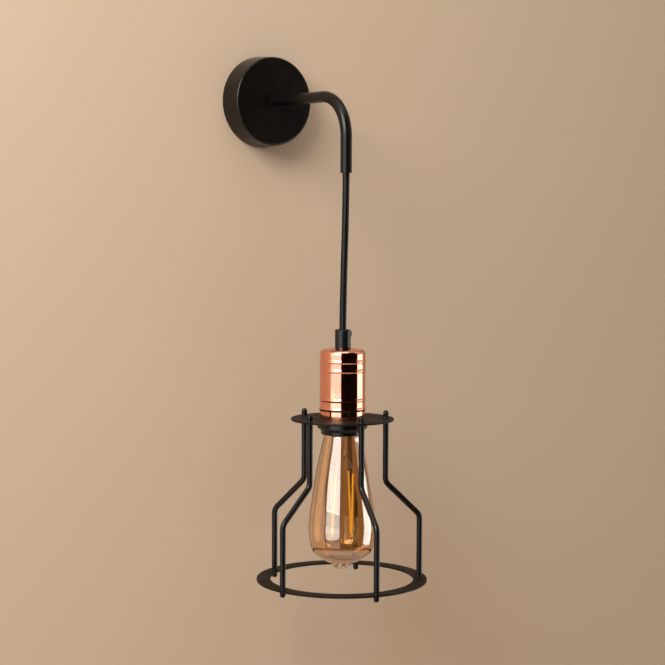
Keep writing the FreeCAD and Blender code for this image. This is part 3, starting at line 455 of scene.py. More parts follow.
# %% Blow the bulb
GLASS_WALL = 0.8 * MM
NECK_RADIUS = 13.4 * MM
COLLAR_RADIUS = 11.55 * MM
COLLAR_RISE = 1.6 * MM
FOOT_RADIUS, FOOT_DROP = 5.9 * MM, 118.2 * MM
KNOT_HEIGHT = 4.6 * MM
KNOT_RIPPLES = [(7.0, 0.2), (7.4, 0.7), (7.3, 1.2), (6.5, 1.6), (6.8, 2.1), (6.7, 2.5),
                (5.8, 2.9), (5.8, 3.3), (5.2, 3.7), (3.8, 4.1), (2.0, 4.45), (0, 4.6)]
SIDE = [(16.2, 3.0), (17.4, 8.5), (21.2, 26.0), (25.6, 51.0), (28.7, 71.0), (30.0, 89.0),
        (26.6, 105.5), (15.6, 114.6)]


def smooth_side(places, steps=9):
    """Points on a smooth line through the given (radius, height) places."""
    ends = [2 * places[0] - places[1]] + places + [2 * places[-1] - places[-2]]
    line = []
    for a, b, c, d in zip(ends, ends[1:], ends[2:], ends[3:]):
        lengths = [math.sqrt((q - p).length) for p, q in ((a, b), (b, c), (c, d))]
        t0, t1 = 0.0, lengths[0]
        t2, t3 = t1 + lengths[1], t1 + lengths[1] + lengths[2]
        for step in range(steps):
            t = t1 + (t2 - t1) * step / steps
            ab = a.lerp(b, (t - t0) / (t1 - t0))
            bc = b.lerp(c, (t - t1) / (t2 - t1))
            cd = c.lerp(d, (t - t2) / (t3 - t2))
            abc = ab.lerp(bc, (t - t0) / (t2 - t0))
            bcd = bc.lerp(cd, (t - t1) / (t3 - t1))
            line.append(abc.lerp(bcd, (t - t1) / (t2 - t1)))
    return line + [places[-1]]


def glass_profile():
    """Neck, side, knot, and back up the inside of the wall."""
    places = [Vector((NECK_RADIUS, cap_foot))]
    places += [Vector((radius * MM, cap_foot - drop * MM)) for radius, drop in SIDE]
    places.append(Vector((FOOT_RADIUS, cap_foot - FOOT_DROP)))
    outer = smooth_side(places)
    inner = []
    for i, here in enumerate(outer):
        run = (outer[min(i + 1, len(outer) - 1)] - outer[max(i - 1, 0)]).normalized()
        inner.append(here + Vector((run.y, -run.x)) * GLASS_WALL)
    foot = cap_foot - FOOT_DROP
    knot = [(radius * MM, foot - drop * MM) for radius, drop in KNOT_RIPPLES]
    floor_inside = inner[-1].y
    rim_in = COLLAR_RADIUS - GLASS_WALL
    rim_top = cap_foot + COLLAR_RISE
    neck = [(rim_in, rim_top), (COLLAR_RADIUS, rim_top), (COLLAR_RADIUS, cap_foot + 0.2 * MM)]
    line = neck + [tuple(p) for p in outer] + knot
    line += [(0, floor_inside - 0.3 * MM), (2.5 * MM, floor_inside - 0.2 * MM)]
    line += [tuple(p) for p in reversed(inner)] + [(rim_in, cap_foot), (rim_in, rim_top)]
    return line


glass = bake("blown_glass", profile_object(glass_profile()), turned_form,
             {"Steps": 129, "Axis": lamp_axis, "Finish": finish_called("amber_glass")})
KNOT_UNEVEN = 0.7 * MM
KNOT_SWIRL = 3.2 * MM
SWIRL_START = Vector((4.0, 1.0, 7.0))
KNOT_SEED = 11
noise.seed_set(KNOT_SEED)
knot_top = cap_foot - FOOT_DROP
for vertex in glass.data.vertices:
    below = (knot_top - vertex.co.z) / KNOT_HEIGHT
    if below > 0.02:
        swirl = noise.noise_vector(vertex.co / KNOT_SWIRL + SWIRL_START)
        shift = Vector((swirl.x, swirl.y, max(0.0, swirl.z))) * KNOT_UNEVEN * min(1.0, 2 * below)
        vertex.co += shift
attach(glass, "bulb")
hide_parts("bulb_glass")

# %% [markdown]
# ## The glass stem
#
# Inside the neck a flared tube is melted to the bulb's rim. Its lower end was pinched flat while it was
# soft, to seal the wires in. It is turned as the bulb is, and then the pinch is pressed into its
# vertices.

# %% Turn and pinch the stem
stem_low, stem_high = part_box("bulb_stem")
STEM_TUBE = 3.5 * MM
STEM_ROD = 1.2 * MM
FLARE = 10.75 * MM
stem_foot = cap_foot + COLLAR_RISE - 29.0 * MM
stem_corners = [(0, stem_high.z, 0), (FLARE, stem_high.z, 0.2 * MM),
                (FLARE, stem_high.z - GLASS_WALL, 0.2 * MM), (STEM_TUBE, stem_high.z - 6 * MM, 1.5 * MM),
                (STEM_TUBE, stem_foot + 6 * MM, 2.0 * MM), (STEM_ROD, stem_foot, 1.5 * MM),
                (STEM_ROD, stem_low.z, 1.1 * MM), (0, stem_low.z, 0)]
stem = bake("glass_stem", profile_object(rounded(stem_corners)), turned_form,
            {"Steps": 65, "Axis": lamp_axis, "Finish": finish_called("clear_glass")})
PINCH_RISE, PINCH_REACH = 13.0 * MM, 5.0 * MM
PINCH_WIDER, PINCH_FLATTER = 0.25, 0.45
pinch_middle = stem_foot + PINCH_RISE
for vertex in stem.data.vertices:
    away = abs(vertex.co.z - pinch_middle) / PINCH_REACH
    if away < 1:
        press = 0.5 + 0.5 * math.cos(math.pi * away)
        vertex.co.x = lamp_axis.x + (vertex.co.x - lamp_axis.x) * (1 + PINCH_WIDER * press)
        vertex.co.y = lamp_axis.y + (vertex.co.y - lamp_axis.y) * (1 - PINCH_FLATTER * press)
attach(stem, "bulb")
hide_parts("bulb_stem")

# %% [markdown]
# ## The filaments
#
# Four thin sticks stand round the stem. Each is a glass strip under a thick yellow coat, with a metal
# clip at both ends. They repeat by a rule, so a tree sets one stick on each of four points: the upper
# ends stand on one circle, the lower ends on a slightly wider one, turned a little round the axis.

# %% Set the filaments round the stem
STICK_COUNT = 4
STICK_DIAMETER = 2.0 * MM
UPPER_CIRCLE, LOWER_CIRCLE = 11.0 * MM, 12.0 * MM
UPPER_DROP, STICK_DROP = 35.5 * MM, 59.0 * MM
STICK_TURN, STICK_TWIST = math.radians(-65.0), math.radians(-13.5)
CLIP_LENGTH = 3.0 * MM
CLIP_SCALE = (0.86, 0.42, 1.0)
COAT_LUMPS = 0.14 * MM


def sticks_tree():
    """Coated sticks between two circles, each with two clips."""
    tree, given, out = start_group(
        "sticks_round_an_axis", "GeometryNodeTree",
        [("Geometry", "NodeSocketGeometry", None), ("Count", "NodeSocketInt", 4),
         ("Upper Circle", "NodeSocketFloat", 0.0), ("Lower Circle", "NodeSocketFloat", 0.0),
         ("Upper Height", "NodeSocketFloat", 0.0), ("Lower Height", "NodeSocketFloat", 0.0),
         ("Turn", "NodeSocketFloat", 0.0), ("Twist", "NodeSocketFloat", 0.0),
         ("Radius", "NodeSocketFloat", 0.0), ("Length", "NodeSocketFloat", 0.0),
         ("Clip", "NodeSocketFloat", 0.0), ("Axis", "NodeSocketVector", (0, 0, 0)),
         ("Coat", "NodeSocketMaterial", None), ("Metal", "NodeSocketMaterial", None)],
        [("Sticks", "NodeSocketGeometry")])
    row = add(tree, "GeometryNodeMeshLine", {"Count": given["Count"]})
    _, angle = angle_of_each(tree, given)
    top = around(tree, given["Upper Circle"], angle, given["Upper Height"])
    twisted = maths(tree, "ADD", angle, given["Twist"])
    foot = around(tree, given["Lower Circle"], twisted, given["Lower Height"])
    middle = add(tree, "ShaderNodeMix", {4: top, 5: foot, 0: 0.5}, data_type="VECTOR")
    placed = vectors(tree, "ADD", a=middle.outputs[1], b=given["Axis"])
    points = add(tree, "GeometryNodeSetPosition", {"Geometry": row.outputs[0], "Position": placed})
    lean = vectors(tree, "SUBTRACT", a=top, b=foot)
    aim = add(tree, "FunctionNodeAlignRotationToVector", {"Vector": lean}, axis="Z")
    coat_length = maths(tree, "SUBTRACT", given["Length"], maths(tree, "MULTIPLY", given["Clip"], 1.2))
    coat = add(tree, "GeometryNodeMeshCylinder", {"Vertices": 20, "Side Segments": 60, "Fill Segments": 3,
                                                  "Radius": given["Radius"], "Depth": coat_length})
    spots = add(tree, "ShaderNodeTexNoise", {"Scale": 900.0, "Detail": 2.0}, noise_dimensions="3D")
    lump = maths(tree, "MULTIPLY", maths(tree, "SUBTRACT", spots.outputs[0], 0.75), COAT_LUMPS)
    coated = add(tree, "GeometryNodeSetMaterial", {"Geometry": push_out(tree, coat.outputs[0], lump),
                                                   "Material": given["Coat"]})
    parts = [coated.outputs[0]]
    for side in (0.5, -0.5):
        clip = add(tree, "GeometryNodeMeshCylinder", {"Vertices": 16, "Side Segments": 5, "Fill Segments": 2,
                                                      "Radius": given["Radius"], "Depth": given["Clip"]})
        reach = maths(tree, "MULTIPLY", maths(tree, "SUBTRACT", given["Length"], given["Clip"]), side)
        shift = add(tree, "ShaderNodeCombineXYZ", {"Z": reach})
        flat = add(tree, "GeometryNodeTransform", {
            "Geometry": clip.outputs[0], "Translation": shift.outputs[0], "Scale": CLIP_SCALE})
        metal = add(tree, "GeometryNodeSetMaterial",
                    {"Geometry": flat.outputs[0], "Material": given["Metal"]})
        parts.append(metal.outputs[0])
    joined = add(tree, "GeometryNodeJoinGeometry")
    for part in parts:
        tree.links.new(part, joined.inputs[0])
    sticks = add(tree, "GeometryNodeInstanceOnPoints", {
        "Points": points.outputs[0], "Instance": joined.outputs[0], "Rotation": aim.outputs[0]})
    return end_tree(tree, out, sticks.outputs[0])


stick_top = cap_foot - UPPER_DROP
stick_foot = stick_top - STICK_DROP
across = Vector((UPPER_CIRCLE - LOWER_CIRCLE * math.cos(STICK_TWIST), LOWER_CIRCLE * math.sin(STICK_TWIST),
                 STICK_DROP))
filaments = bake("filament_sticks", profile_object([(0, 0), (0, 0.001)]), sticks_tree(), {
    "Count": STICK_COUNT, "Upper Circle": UPPER_CIRCLE, "Lower Circle": LOWER_CIRCLE,
    "Upper Height": stick_top, "Lower Height": stick_foot, "Turn": STICK_TURN, "Twist": STICK_TWIST,
    "Radius": STICK_DIAMETER / 2, "Length": across.length, "Clip": CLIP_LENGTH, "Axis": lamp_axis,
    "Coat": finish_called("filament"), "Metal": finish_called("wire")})
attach(filaments, "bulb")
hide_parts("bulb_filaments")

# %% [markdown]
# ## Welds on the cage
#
# Each rod passes through the disc and the ring and is welded where it meets them, above and below. A weld
# is a small uneven fillet, and there are twenty of them, so a tree sets one lumpy ring at every crossing.

# %% Weld the rods
ROD_COUNT = 5
ROD_DIAMETER = 5.0 * MM
ROD_TURN = math.radians(-100.1)
DISC_CIRCLE, RING_CIRCLE = 38.5 * MM, 69.1 * MM
WELD_FILLET, WELD_LUMPS = 0.75 * MM, 0.9 * MM


def welds_tree():
    """Small uneven fillets round every rod, at one height and on one circle."""
    tree, given, out = start_group(
        "welds_on_a_circle", "GeometryNodeTree",
        [("Geometry", "NodeSocketGeometry", None), ("Count", "NodeSocketInt", 5),
         ("Circle", "NodeSocketFloat", 0.0), ("Turn", "NodeSocketFloat", 0.0),
         ("Low", "NodeSocketFloat", 0.0), ("High", "NodeSocketFloat", 0.0),
         ("Rod Radius", "NodeSocketFloat", 0.0), ("Fillet", "NodeSocketFloat", 0.0),
         ("Axis", "NodeSocketVector", (0, 0, 0)), ("Seed", "NodeSocketFloat", 0.0),
         ("Finish", "NodeSocketMaterial", None)],
        [("Welds", "NodeSocketGeometry")])
    number, angle = angle_of_each(tree, given)
    twice = maths(tree, "MULTIPLY", given["Count"], 2.0)
    row = add(tree, "GeometryNodeMeshLine", {"Count": twice})
    upper = maths(tree, "LESS_THAN", number, maths(tree, "SUBTRACT", given["Count"], 0.5))
    height = maths(tree, "ADD", given["Low"],
                   maths(tree, "MULTIPLY", upper, maths(tree, "SUBTRACT", given["High"], given["Low"])))
    placed = vectors(tree, "ADD", a=around(tree, given["Circle"], angle, height), b=given["Axis"])
    points = add(tree, "GeometryNodeSetPosition", {"Geometry": row.outputs[0], "Position": placed})
    path = add(tree, "GeometryNodeCurvePrimitiveCircle", {"Resolution": 28, "Radius": given["Rod Radius"]})
    bead = add(tree, "GeometryNodeCurvePrimitiveCircle", {"Resolution": 10, "Radius": given["Fillet"]})
    fillet = add(tree, "GeometryNodeCurveToMesh",
                 {"Curve": path.outputs[0], "Profile Curve": bead.outputs[0]})
    set_down = add(tree, "GeometryNodeInstanceOnPoints", {"Points": points.outputs[0],
                                                          "Instance": fillet.outputs[0]})
    real = add(tree, "GeometryNodeRealizeInstances", {"Geometry": set_down.outputs[0]})
    spots = add(tree, "ShaderNodeTexNoise", {"W": given["Seed"], "Scale": 700.0, "Detail": 1.0},
                noise_dimensions="4D")
    lump = maths(tree, "MULTIPLY", maths(tree, "SUBTRACT", spots.outputs[0], 0.55), WELD_LUMPS)
    return end_tree(tree, out, push_out(tree, real.outputs[0], lump), given["Finish"])


weld_ring = welds_tree()
for name, circle, low, high in (("disc_welds", DISC_CIRCLE, disc_low.z, disc_high.z),
                                ("ring_welds", RING_CIRCLE, ring_low.z, ring_high.z)):
    welds = bake(name, profile_object([(0, 0), (0, 0.001)]), weld_ring, {
        "Count": ROD_COUNT, "Circle": circle, "Turn": ROD_TURN, "Low": low, "High": high,
        "Rod Radius": ROD_DIAMETER / 2, "Fillet": WELD_FILLET, "Axis": lamp_axis, "Seed": 3.0,
        "Finish": finish_called("black_steel")})
    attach(welds, "lamp")

# %% [markdown]
# ## Effects that several finishes share
#
# Real surfaces differ from flat colours in a few ways that come back in every finish: fine grain, marks
# from handling, thin turning lines, and coating that has rubbed thin along edges. Each one is a node
# group that gives a mask or a height. The material decides what to do with it.

# %% Helper for noise, and group: grain at two scales
def patches(tree, scale, detail, **more):
    """Noise on the piece's own coordinates, a value round 0.5."""
    place = add(tree, "ShaderNodeTexCoord").outputs["Object"]
    return add(tree, "ShaderNodeTexNoise",
               {"Vector": place, "Scale": scale, "Detail": detail, **more}).outputs[0]


def grain_group():
    """Height and tone from fine noise over coarser noise."""
    tree, given, out = start_group(
        "fine_grain", "ShaderNodeTree",
        [("Coarse", "NodeSocketFloat", 900.0), ("Fine", "NodeSocketFloat", 3500.0)],
        [("Height", "NodeSocketFloat"), ("Tone", "NodeSocketFloat")])
    both = maths(tree, "ADD", maths(tree, "MULTIPLY", patches(tree, given["Coarse"], 3.0), 0.7),
                 maths(tree, "MULTIPLY", patches(tree, given["Fine"], 2.0), 0.3))
    tree.links.new(both, out.inputs["Height"])
    tree.links.new(patches(tree, 45.0, 4.0, Distortion=0.4), out.inputs["Tone"])
    return tree


fine_grain = grain_group()

# %% Group: marks from handling
def marks_group():
    """A mask of soft finger smears and dull spots."""
    tree, given, out = start_group(
        "handling_marks", "ShaderNodeTree",
        [("Size", "NodeSocketFloat", 60.0)], [("Mask", "NodeSocketFloat")])
    smear = patches(tree, given["Size"], 5.0, Roughness=0.6, Distortion=1.2)
    spots = patches(tree, 420.0, 3.0)
    soft = add(tree, "ShaderNodeMapRange", {"Value": smear, "From Min": 0.45, "From Max": 0.75})
    crisp = add(tree, "ShaderNodeMapRange", {"Value": spots, "From Min": 0.5, "From Max": 0.72})
    both = maths(tree, "ADD", maths(tree, "MULTIPLY", soft.outputs[0], 0.75),
                 maths(tree, "MULTIPLY", crisp.outputs[0], 0.25))
    tree.links.new(both, out.inputs["Mask"])
    return tree


handling_marks = marks_group()

# %% Group: rubbed edges
def rub_group():
    """A mask that is 1 on rounded-over edges, broken up by noise."""
    tree, given, out = start_group(
        "rubbed_edges", "ShaderNodeTree",
        [("Width", "NodeSocketFloat", 0.0008), ("Gain", "NodeSocketFloat", 6.0)],
        [("Mask", "NodeSocketFloat")])
    rounded_normal = add(tree, "ShaderNodeBevel", {"Radius": given["Width"]}, samples=6).outputs[0]
    true_normal = add(tree, "ShaderNodeNewGeometry").outputs["Normal"]
    same = add(tree, "ShaderNodeVectorMath", {0: rounded_normal, 1: true_normal}, operation="DOT_PRODUCT")
    bend = maths(tree, "MULTIPLY", maths(tree, "SUBTRACT", 1.0, same.outputs["Value"]), given["Gain"], True)
    breaks = patches(tree, 260.0, 4.0)
    patchy = add(tree, "ShaderNodeMapRange", {"Value": breaks, "From Min": 0.38, "From Max": 0.62})
    tree.links.new(maths(tree, "MULTIPLY", bend, patchy.outputs[0]), out.inputs["Mask"])
    return tree


rubbed_edges = rub_group()

# %% Group: turning lines
def lines_group():
    """Height of the fine rings that a tool leaves on a form turned round an upright axis."""
    tree, given, out = start_group(
        "turning_lines", "ShaderNodeTree",
        [("Axis", "NodeSocketVector", (0, 0, 0)), ("Lines", "NodeSocketFloat", 5000.0)],
        [("Height", "NodeSocketFloat")])
    place = add(tree, "ShaderNodeTexCoord").outputs["Object"]
    moved = vectors(tree, "SUBTRACT", a=place, b=given["Axis"])
    flat = vectors(tree, "MULTIPLY", a=moved, b=(1.0, 1.0, 0.0))
    radius = add(tree, "ShaderNodeVectorMath", {0: flat}, operation="LENGTH").outputs["Value"]
    height = add(tree, "ShaderNodeSeparateXYZ", {0: moved}).outputs["Z"]
    ring = add(tree, "ShaderNodeCombineXYZ", {
        "X": maths(tree, "MULTIPLY", radius, given["Lines"]),
        "Y": maths(tree, "MULTIPLY", height, given["Lines"])}).outputs[0]
    lines = add(tree, "ShaderNodeTexNoise", {"Vector": ring, "Scale": 1.0, "Detail": 2.0},
                noise_dimensions="2D")
    tree.links.new(lines.outputs[0], out.inputs["Height"])
    return tree


turning_lines = lines_group()

# %% Helpers for a material
def begin(name):
    """Empties the named material and gives its tree and its one Principled shader."""
    material = finish_called(name)
    material.use_nodes = True
    tree = material.node_tree
    tree.nodes.clear()
    shader = add(tree, "ShaderNodeBsdfPrincipled")
    out = add(tree, "ShaderNodeOutputMaterial")
    tree.links.new(shader.outputs[0], out.inputs["Surface"])
    return tree, shader


def use(tree, group, feeds=None):
    """Puts a node group into a material and gives its outputs."""
    node = add(tree, "ShaderNodeGroup")
    node.node_tree = group
    for name, value in (feeds or {}).items():
        node.inputs[name].default_value = value
    return node.outputs


def blend_colours(tree, share, first, second):
    """A colour between two, by a mask. Either may be another node's output."""
    node = add(tree, "ShaderNodeMix", {0: share, 6: first, 7: second}, data_type="RGBA")
    return node.outputs[2]


def spread(tree, value, low, high):
    """Turns a 0 to 1 mask into a range."""
    return add(tree, "ShaderNodeMapRange", {"Value": value, "To Min": low, "To Max": high}).outputs[0]


def bump(tree, height, strength, distance):
    """A Bump node's normal from a height."""
    feeds = {"Height": height, "Strength": strength, "Distance": distance}
    return add(tree, "ShaderNodeBump", feeds).outputs[0]


def wire_up(tree, shader, **feeds):
    """Feeds the shader's inputs, whose names are written with underscores."""
    for name, value in feeds.items():
        socket = shader.inputs[name.replace("_", " ")]
        if isinstance(value, bpy.types.NodeSocket):
            tree.links.new(value, socket)
        else:
            socket.default_value = value


def mix_in(tree, shader, share, other):
    """Shows another shader in place of the material's own where the share is 1."""
    both = add(tree, "ShaderNodeMixShader", {0: share, 1: shader.outputs[0], 2: other.outputs[0]})
    out = next(node for node in tree.nodes if node.bl_idname == "ShaderNodeOutputMaterial")
    tree.links.new(both.outputs[0], out.inputs["Surface"])


# %% [markdown]
# ## Black powder coat
#
# The canopy, the arm, the disc, the ring and the rods have the same satin coat. It is baked powder, so it
# has a very fine orange peel. It is not quite black: the colour wanders between a warm and a cooler dark
# brown, and it is a little lighter and smoother where hands and packing have rubbed its edges. The cage's
# disc and ring are flat plates, on which the powder dries rougher than on a rod, so they have a duller
# mix of the same finish.

# %% Finish: black powder coat
def powder_coat(name, dark, light, low, high, gloss):
    """Satin baked powder. Gloss is the shader's specular level, which is the same all over."""
    tree, shader = begin(name)
    shader.inputs["Specular IOR Level"].default_value = gloss
    grain = use(tree, fine_grain, {"Coarse": 1100.0, "Fine": 4200.0})
    marks = use(tree, handling_marks, {"Size": 38.0})
    rub = use(tree, rubbed_edges, {"Width": 0.7 * MM, "Gain": 5.0})
    ground = blend_colours(tree, grain["Tone"], dark, light)
    colour = blend_colours(tree, maths(tree, "MULTIPLY", rub["Mask"], 0.55), ground, (0.045, 0.036, 0.030, 1))
    wire_up(tree, shader, Base_Color=colour, Roughness=spread(tree, marks["Mask"], low, high),
            Normal=bump(tree, grain["Height"], 0.30, 0.05 * MM))


powder_coat("black_steel", (0.0032, 0.0024, 0.0018, 1), (0.0060, 0.0045, 0.0034, 1), 0.24, 0.33, 0.25)
powder_coat("black_plate", (0.0042, 0.0027, 0.0019, 1), (0.0080, 0.0052, 0.0037, 1), 0.50, 0.64, 0.11)

# %% [markdown]
# ## Bright metals
#
# Copper, brass, zinc plate and the bulb's cap are all metal, so their colour lives in the reflection and
# their character in the roughness. The copper is polished and lacquered: nearly a mirror, with turning
# lines that only show at the edges of reflections. The zinc is dull and blotchy.

# %% Finish: polished copper
tree, shader = begin("copper")
lines = use(tree, turning_lines, {"Axis": lamp_axis, "Lines": 3800.0})
marks = use(tree, handling_marks, {"Size": 46.0})
tarnish = use(tree, fine_grain, {"Coarse": 150.0, "Fine": 900.0})
colour = blend_colours(tree, tarnish["Tone"], (0.83, 0.345, 0.22, 1), (0.89, 0.405, 0.28, 1))
colour = blend_colours(tree, maths(tree, "MULTIPLY", marks["Mask"], 0.22), colour, (0.68, 0.24, 0.14, 1))
wire_up(tree, shader, Base_Color=colour, Metallic=1.0, Roughness=spread(tree, marks["Mask"], 0.055, 0.14),
        Normal=bump(tree, lines["Height"], 0.05, 0.02 * MM))

# %% Finish: brass, zinc plate, the bulb's cap, solder and wire
def bright_metal(name, first, second, low, high, scale, strength):
    """Bare metal between two colours, a little smoother where its edges are rubbed."""
    tree, shader = begin(name)
    grain = use(tree, fine_grain, {"Coarse": scale, "Fine": scale * 5})
    marks = use(tree, handling_marks, {"Size": 120.0})
    rub = use(tree, rubbed_edges, {"Width": 0.35 * MM, "Gain": 4.0})
    colour = blend_colours(tree, grain["Tone"], first, second)
    rough = maths(tree, "SUBTRACT", spread(tree, marks["Mask"], low, high),
                  maths(tree, "MULTIPLY", rub["Mask"], 0.08))
    wire_up(tree, shader, Base_Color=colour, Metallic=1.0, Roughness=rough,
            Normal=bump(tree, grain["Height"], strength, 0.03 * MM))


bright_metal("brass", (0.70, 0.49, 0.20, 1), (0.83, 0.62, 0.30, 1), 0.20, 0.36, 700.0, 0.25)
bright_metal("zinc_steel", (0.50, 0.51, 0.53, 1), (0.66, 0.67, 0.68, 1), 0.28, 0.48, 500.0, 0.35)
bright_metal("cap_metal", (0.60, 0.56, 0.48, 1), (0.74, 0.70, 0.62, 1), 0.16, 0.32, 600.0, 0.20)
bright_metal("solder", (0.45, 0.45, 0.46, 1), (0.62, 0.62, 0.63, 1), 0.25, 0.50, 1200.0, 0.60)
bright_metal("wire", (0.58, 0.54, 0.48, 1), (0.72, 0.68, 0.62, 1), 0.18, 0.34, 2500.0, 0.15)

# %% [markdown]
# ## Plastics, sheath and cores
#
# Moulded plastic has a fine even texture and a soft gloss. The cord's sheath is softer and duller. Each
# core in it has its own colour, and the earth core is green with a yellow stripe. The stripe follows the
# side that the surface faces, in the part's own directions, so it runs along the core however the core
# bends.

# %% Finish: moulded plastics and the cord's sheath
def moulded(name, first, second, low, high, scale, strength, gloss=0.5):
    """Moulded or extruded plastic with a fine even texture."""
    tree, shader = begin(name)
    shader.inputs["Specular IOR Level"].default_value = gloss
    grain = use(tree, fine_grain, {"Coarse": scale, "Fine": scale * 4})
    marks = use(tree, handling_marks, {"Size": 70.0})
    rub = use(tree, rubbed_edges, {"Width": 0.4 * MM, "Gain": 4.0})
    ground = blend_colours(tree, grain["Tone"], first, second)
    worn = tuple(min(1.0, 1.6 * part + 0.02) for part in second[:3]) + (1,)
    colour = blend_colours(tree, maths(tree, "MULTIPLY", rub["Mask"], 0.5), ground, worn)
    wire_up(tree, shader, Base_Color=colour, Roughness=spread(tree, marks["Mask"], low, high),
            Normal=bump(tree, grain["Height"], strength, 0.04 * MM))


moulded("black_plastic", (0.0035, 0.0034, 0.0032, 1), (0.0070, 0.0068, 0.0064, 1), 0.24, 0.38, 1500.0, 0.2,
        gloss=0.35)
moulded("white_plastic", (0.70, 0.69, 0.65, 1), (0.80, 0.79, 0.75, 1), 0.38, 0.55, 900.0, 0.20)
moulded("cord_sheath", (0.0026, 0.0022, 0.0018, 1), (0.0055, 0.0046, 0.0038, 1), 0.32, 0.44, 2200.0, 0.3,
        gloss=0.22)
moulded("core_live", (0.10, 0.042, 0.018, 1), (0.15, 0.065, 0.028, 1), 0.35, 0.50, 1800.0, 0.20)
moulded("core_neutral", (0.03, 0.12, 0.42, 1), (0.045, 0.17, 0.52, 1), 0.35, 0.50, 1800.0, 0.20)

# %% Finish: green and yellow earth core
tree, shader = begin("core_earth")
facing = add(tree, "ShaderNodeSeparateXYZ", {0: add(tree, "ShaderNodeTexCoord").outputs["Normal"]}).outputs
stripe = add(tree, "ShaderNodeMapRange", {"Value": maths(tree, "ABSOLUTE", facing["X"]), "From Min": 0.42,
                                          "From Max": 0.50}).outputs[0]
grain = use(tree, fine_grain, {"Coarse": 1800.0, "Fine": 7000.0})
green = blend_colours(tree, grain["Tone"], (0.025, 0.20, 0.045, 1), (0.035, 0.27, 0.06, 1))
yellow = blend_colours(tree, grain["Tone"], (0.74, 0.56, 0.03, 1), (0.84, 0.66, 0.06, 1))
marks = use(tree, handling_marks)
wire_up(tree, shader, Base_Color=blend_colours(tree, stripe, yellow, green),
        Roughness=spread(tree, marks["Mask"], 0.35, 0.50), Normal=bump(tree, grain["Height"], 0.2, 0.03 * MM))

# %% [markdown]
# ## Glass
#
# The bulb's glass is tinted, and its outside has the bright reflection of a thin oxide film, which a coat
# on top of the glass gives. The tint could be a volume inside the wall, but a colour on the glass itself
# looks the same on a wall this thin, and is kept when the model is exported. Real lamps light the inside
# of a bulb through its glass, which a path tracer finds very slowly. For shadow rays the glass therefore
# becomes a clear film.

# %% Finish: amber glass and clear glass
def glass_finish(name, tint, film, rough, coat):
    """Clear or tinted glass. The coat adds the bright outer reflection of a glass with a metal oxide film."""
    tree, shader = begin(name)
    shader.inputs["Coat Weight"].default_value = coat
    shader.inputs["Coat IOR"].default_value = 2.2
    shader.inputs["Coat Roughness"].default_value = 0.01
    marks = use(tree, handling_marks, {"Size": 30.0})
    shader.inputs["Transmission Weight"].default_value = 1.0
    shader.inputs["Metallic"].default_value = 0.0
    shader.inputs["IOR"].default_value = 1.5
    wire_up(tree, shader, Base_Color=tint, Roughness=spread(tree, marks["Mask"], 0.0, rough),
            Normal=bump(tree, patches(tree, 55.0, 1.0), 0.10, 0.5 * MM))
    clear = add(tree, "ShaderNodeBsdfTransparent", {"Color": film})
    mix_in(tree, shader, add(tree, "ShaderNodeLightPath").outputs["Is Shadow Ray"], clear)


glass_finish("amber_glass", (0.82, 0.60, 0.385, 1), (0.97, 0.82, 0.60, 1), 0.02, 1.0)
glass_finish("clear_glass", (0.97, 0.98, 0.97, 1), (0.97, 0.98, 0.97, 1), 0.03, 0.0)

# %% Finish: the black glass in the cap, and the filaments' coat
tree, shader = begin("dark_glass")
marks = use(tree, handling_marks, {"Size": 150.0})
grain = use(tree, fine_grain, {"Coarse": 300.0, "Fine": 1500.0})
colour = blend_colours(tree, grain["Tone"], (0.006, 0.006, 0.008, 1), (0.02, 0.018, 0.022, 1))
wire_up(tree, shader, Base_Color=colour, Roughness=spread(tree, marks["Mask"], 0.06, 0.2),
        Normal=bump(tree, grain["Height"], 0.2, 0.05 * MM))

tree, shader = begin("filament")
grain = use(tree, fine_grain, {"Coarse": 1500.0, "Fine": 6000.0})
colour = blend_colours(tree, patches(tree, 2600.0, 3.0), (0.95, 0.60, 0.04, 1), (1.0, 0.76, 0.12, 1))
wire_up(tree, shader, Base_Color=colour, Roughness=spread(tree, grain["Tone"], 0.45, 0.65),
        Normal=bump(tree, grain["Height"], 0.5, 0.06 * MM))

# %% [markdown]
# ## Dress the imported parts
#
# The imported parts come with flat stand-in colours. Each of their material slots is named in the record,
# so one loop gives every slot the finish of the same name. Only the disc and the ring get the duller
# black instead.

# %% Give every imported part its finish
dressed = {}
for name, node in frame["nodes"].items():
    for place in node.material_slots:
        wanted = place.material.name.split(".")[0]
        dressed.setdefault(wanted, []).append(name)
        if name in ("cage_disc", "cage_ring"):
            wanted = "black_plate"
        place.material = bpy.data.materials[wanted]
print({finish: len(names) for finish, names in dressed.items()})

# %% [markdown]
# ## The wall, the floor and the light
#
# The lamp hangs on a plain warm wall. The key light stands high on the left and casts the soft shadow
# down to the right. A dim panel at the cup's height makes the broad pale band on the copper, and brighter
# ones above and below it make the white band on the bulb. A strip far to the right makes the narrow
# bands, and between them black cards keep the copper's middle dark, as a dark room behind the camera
# does. The wall shows to the camera from its front only, so that the back of the lamp can be looked at
# too.

# %% Stage
def one_sided(name, colour):
    """A plain matt surface that the camera sees from its front only. It still shades and reflects."""
    tree, shader = begin(name)
    lighter = tuple(min(1.0, part * 1.03) for part in colour[:3]) + (1,)
    wire_up(tree, shader, Base_Color=blend_colours(tree, patches(tree, 3.0, 3.0), colour, lighter),
            Roughness=0.9)
    shader.inputs["Specular IOR Level"].default_value = 0.2
    seen = add(tree, "ShaderNodeLightPath").outputs["Is Camera Ray"]
    behind = add(tree, "ShaderNodeNewGeometry").outputs["Backfacing"]
    gone = add(tree, "ShaderNodeBsdfTransparent")
    mix_in(tree, shader, maths(tree, "MULTIPLY", seen, behind), gone)
    return bpy.data.materials[name]


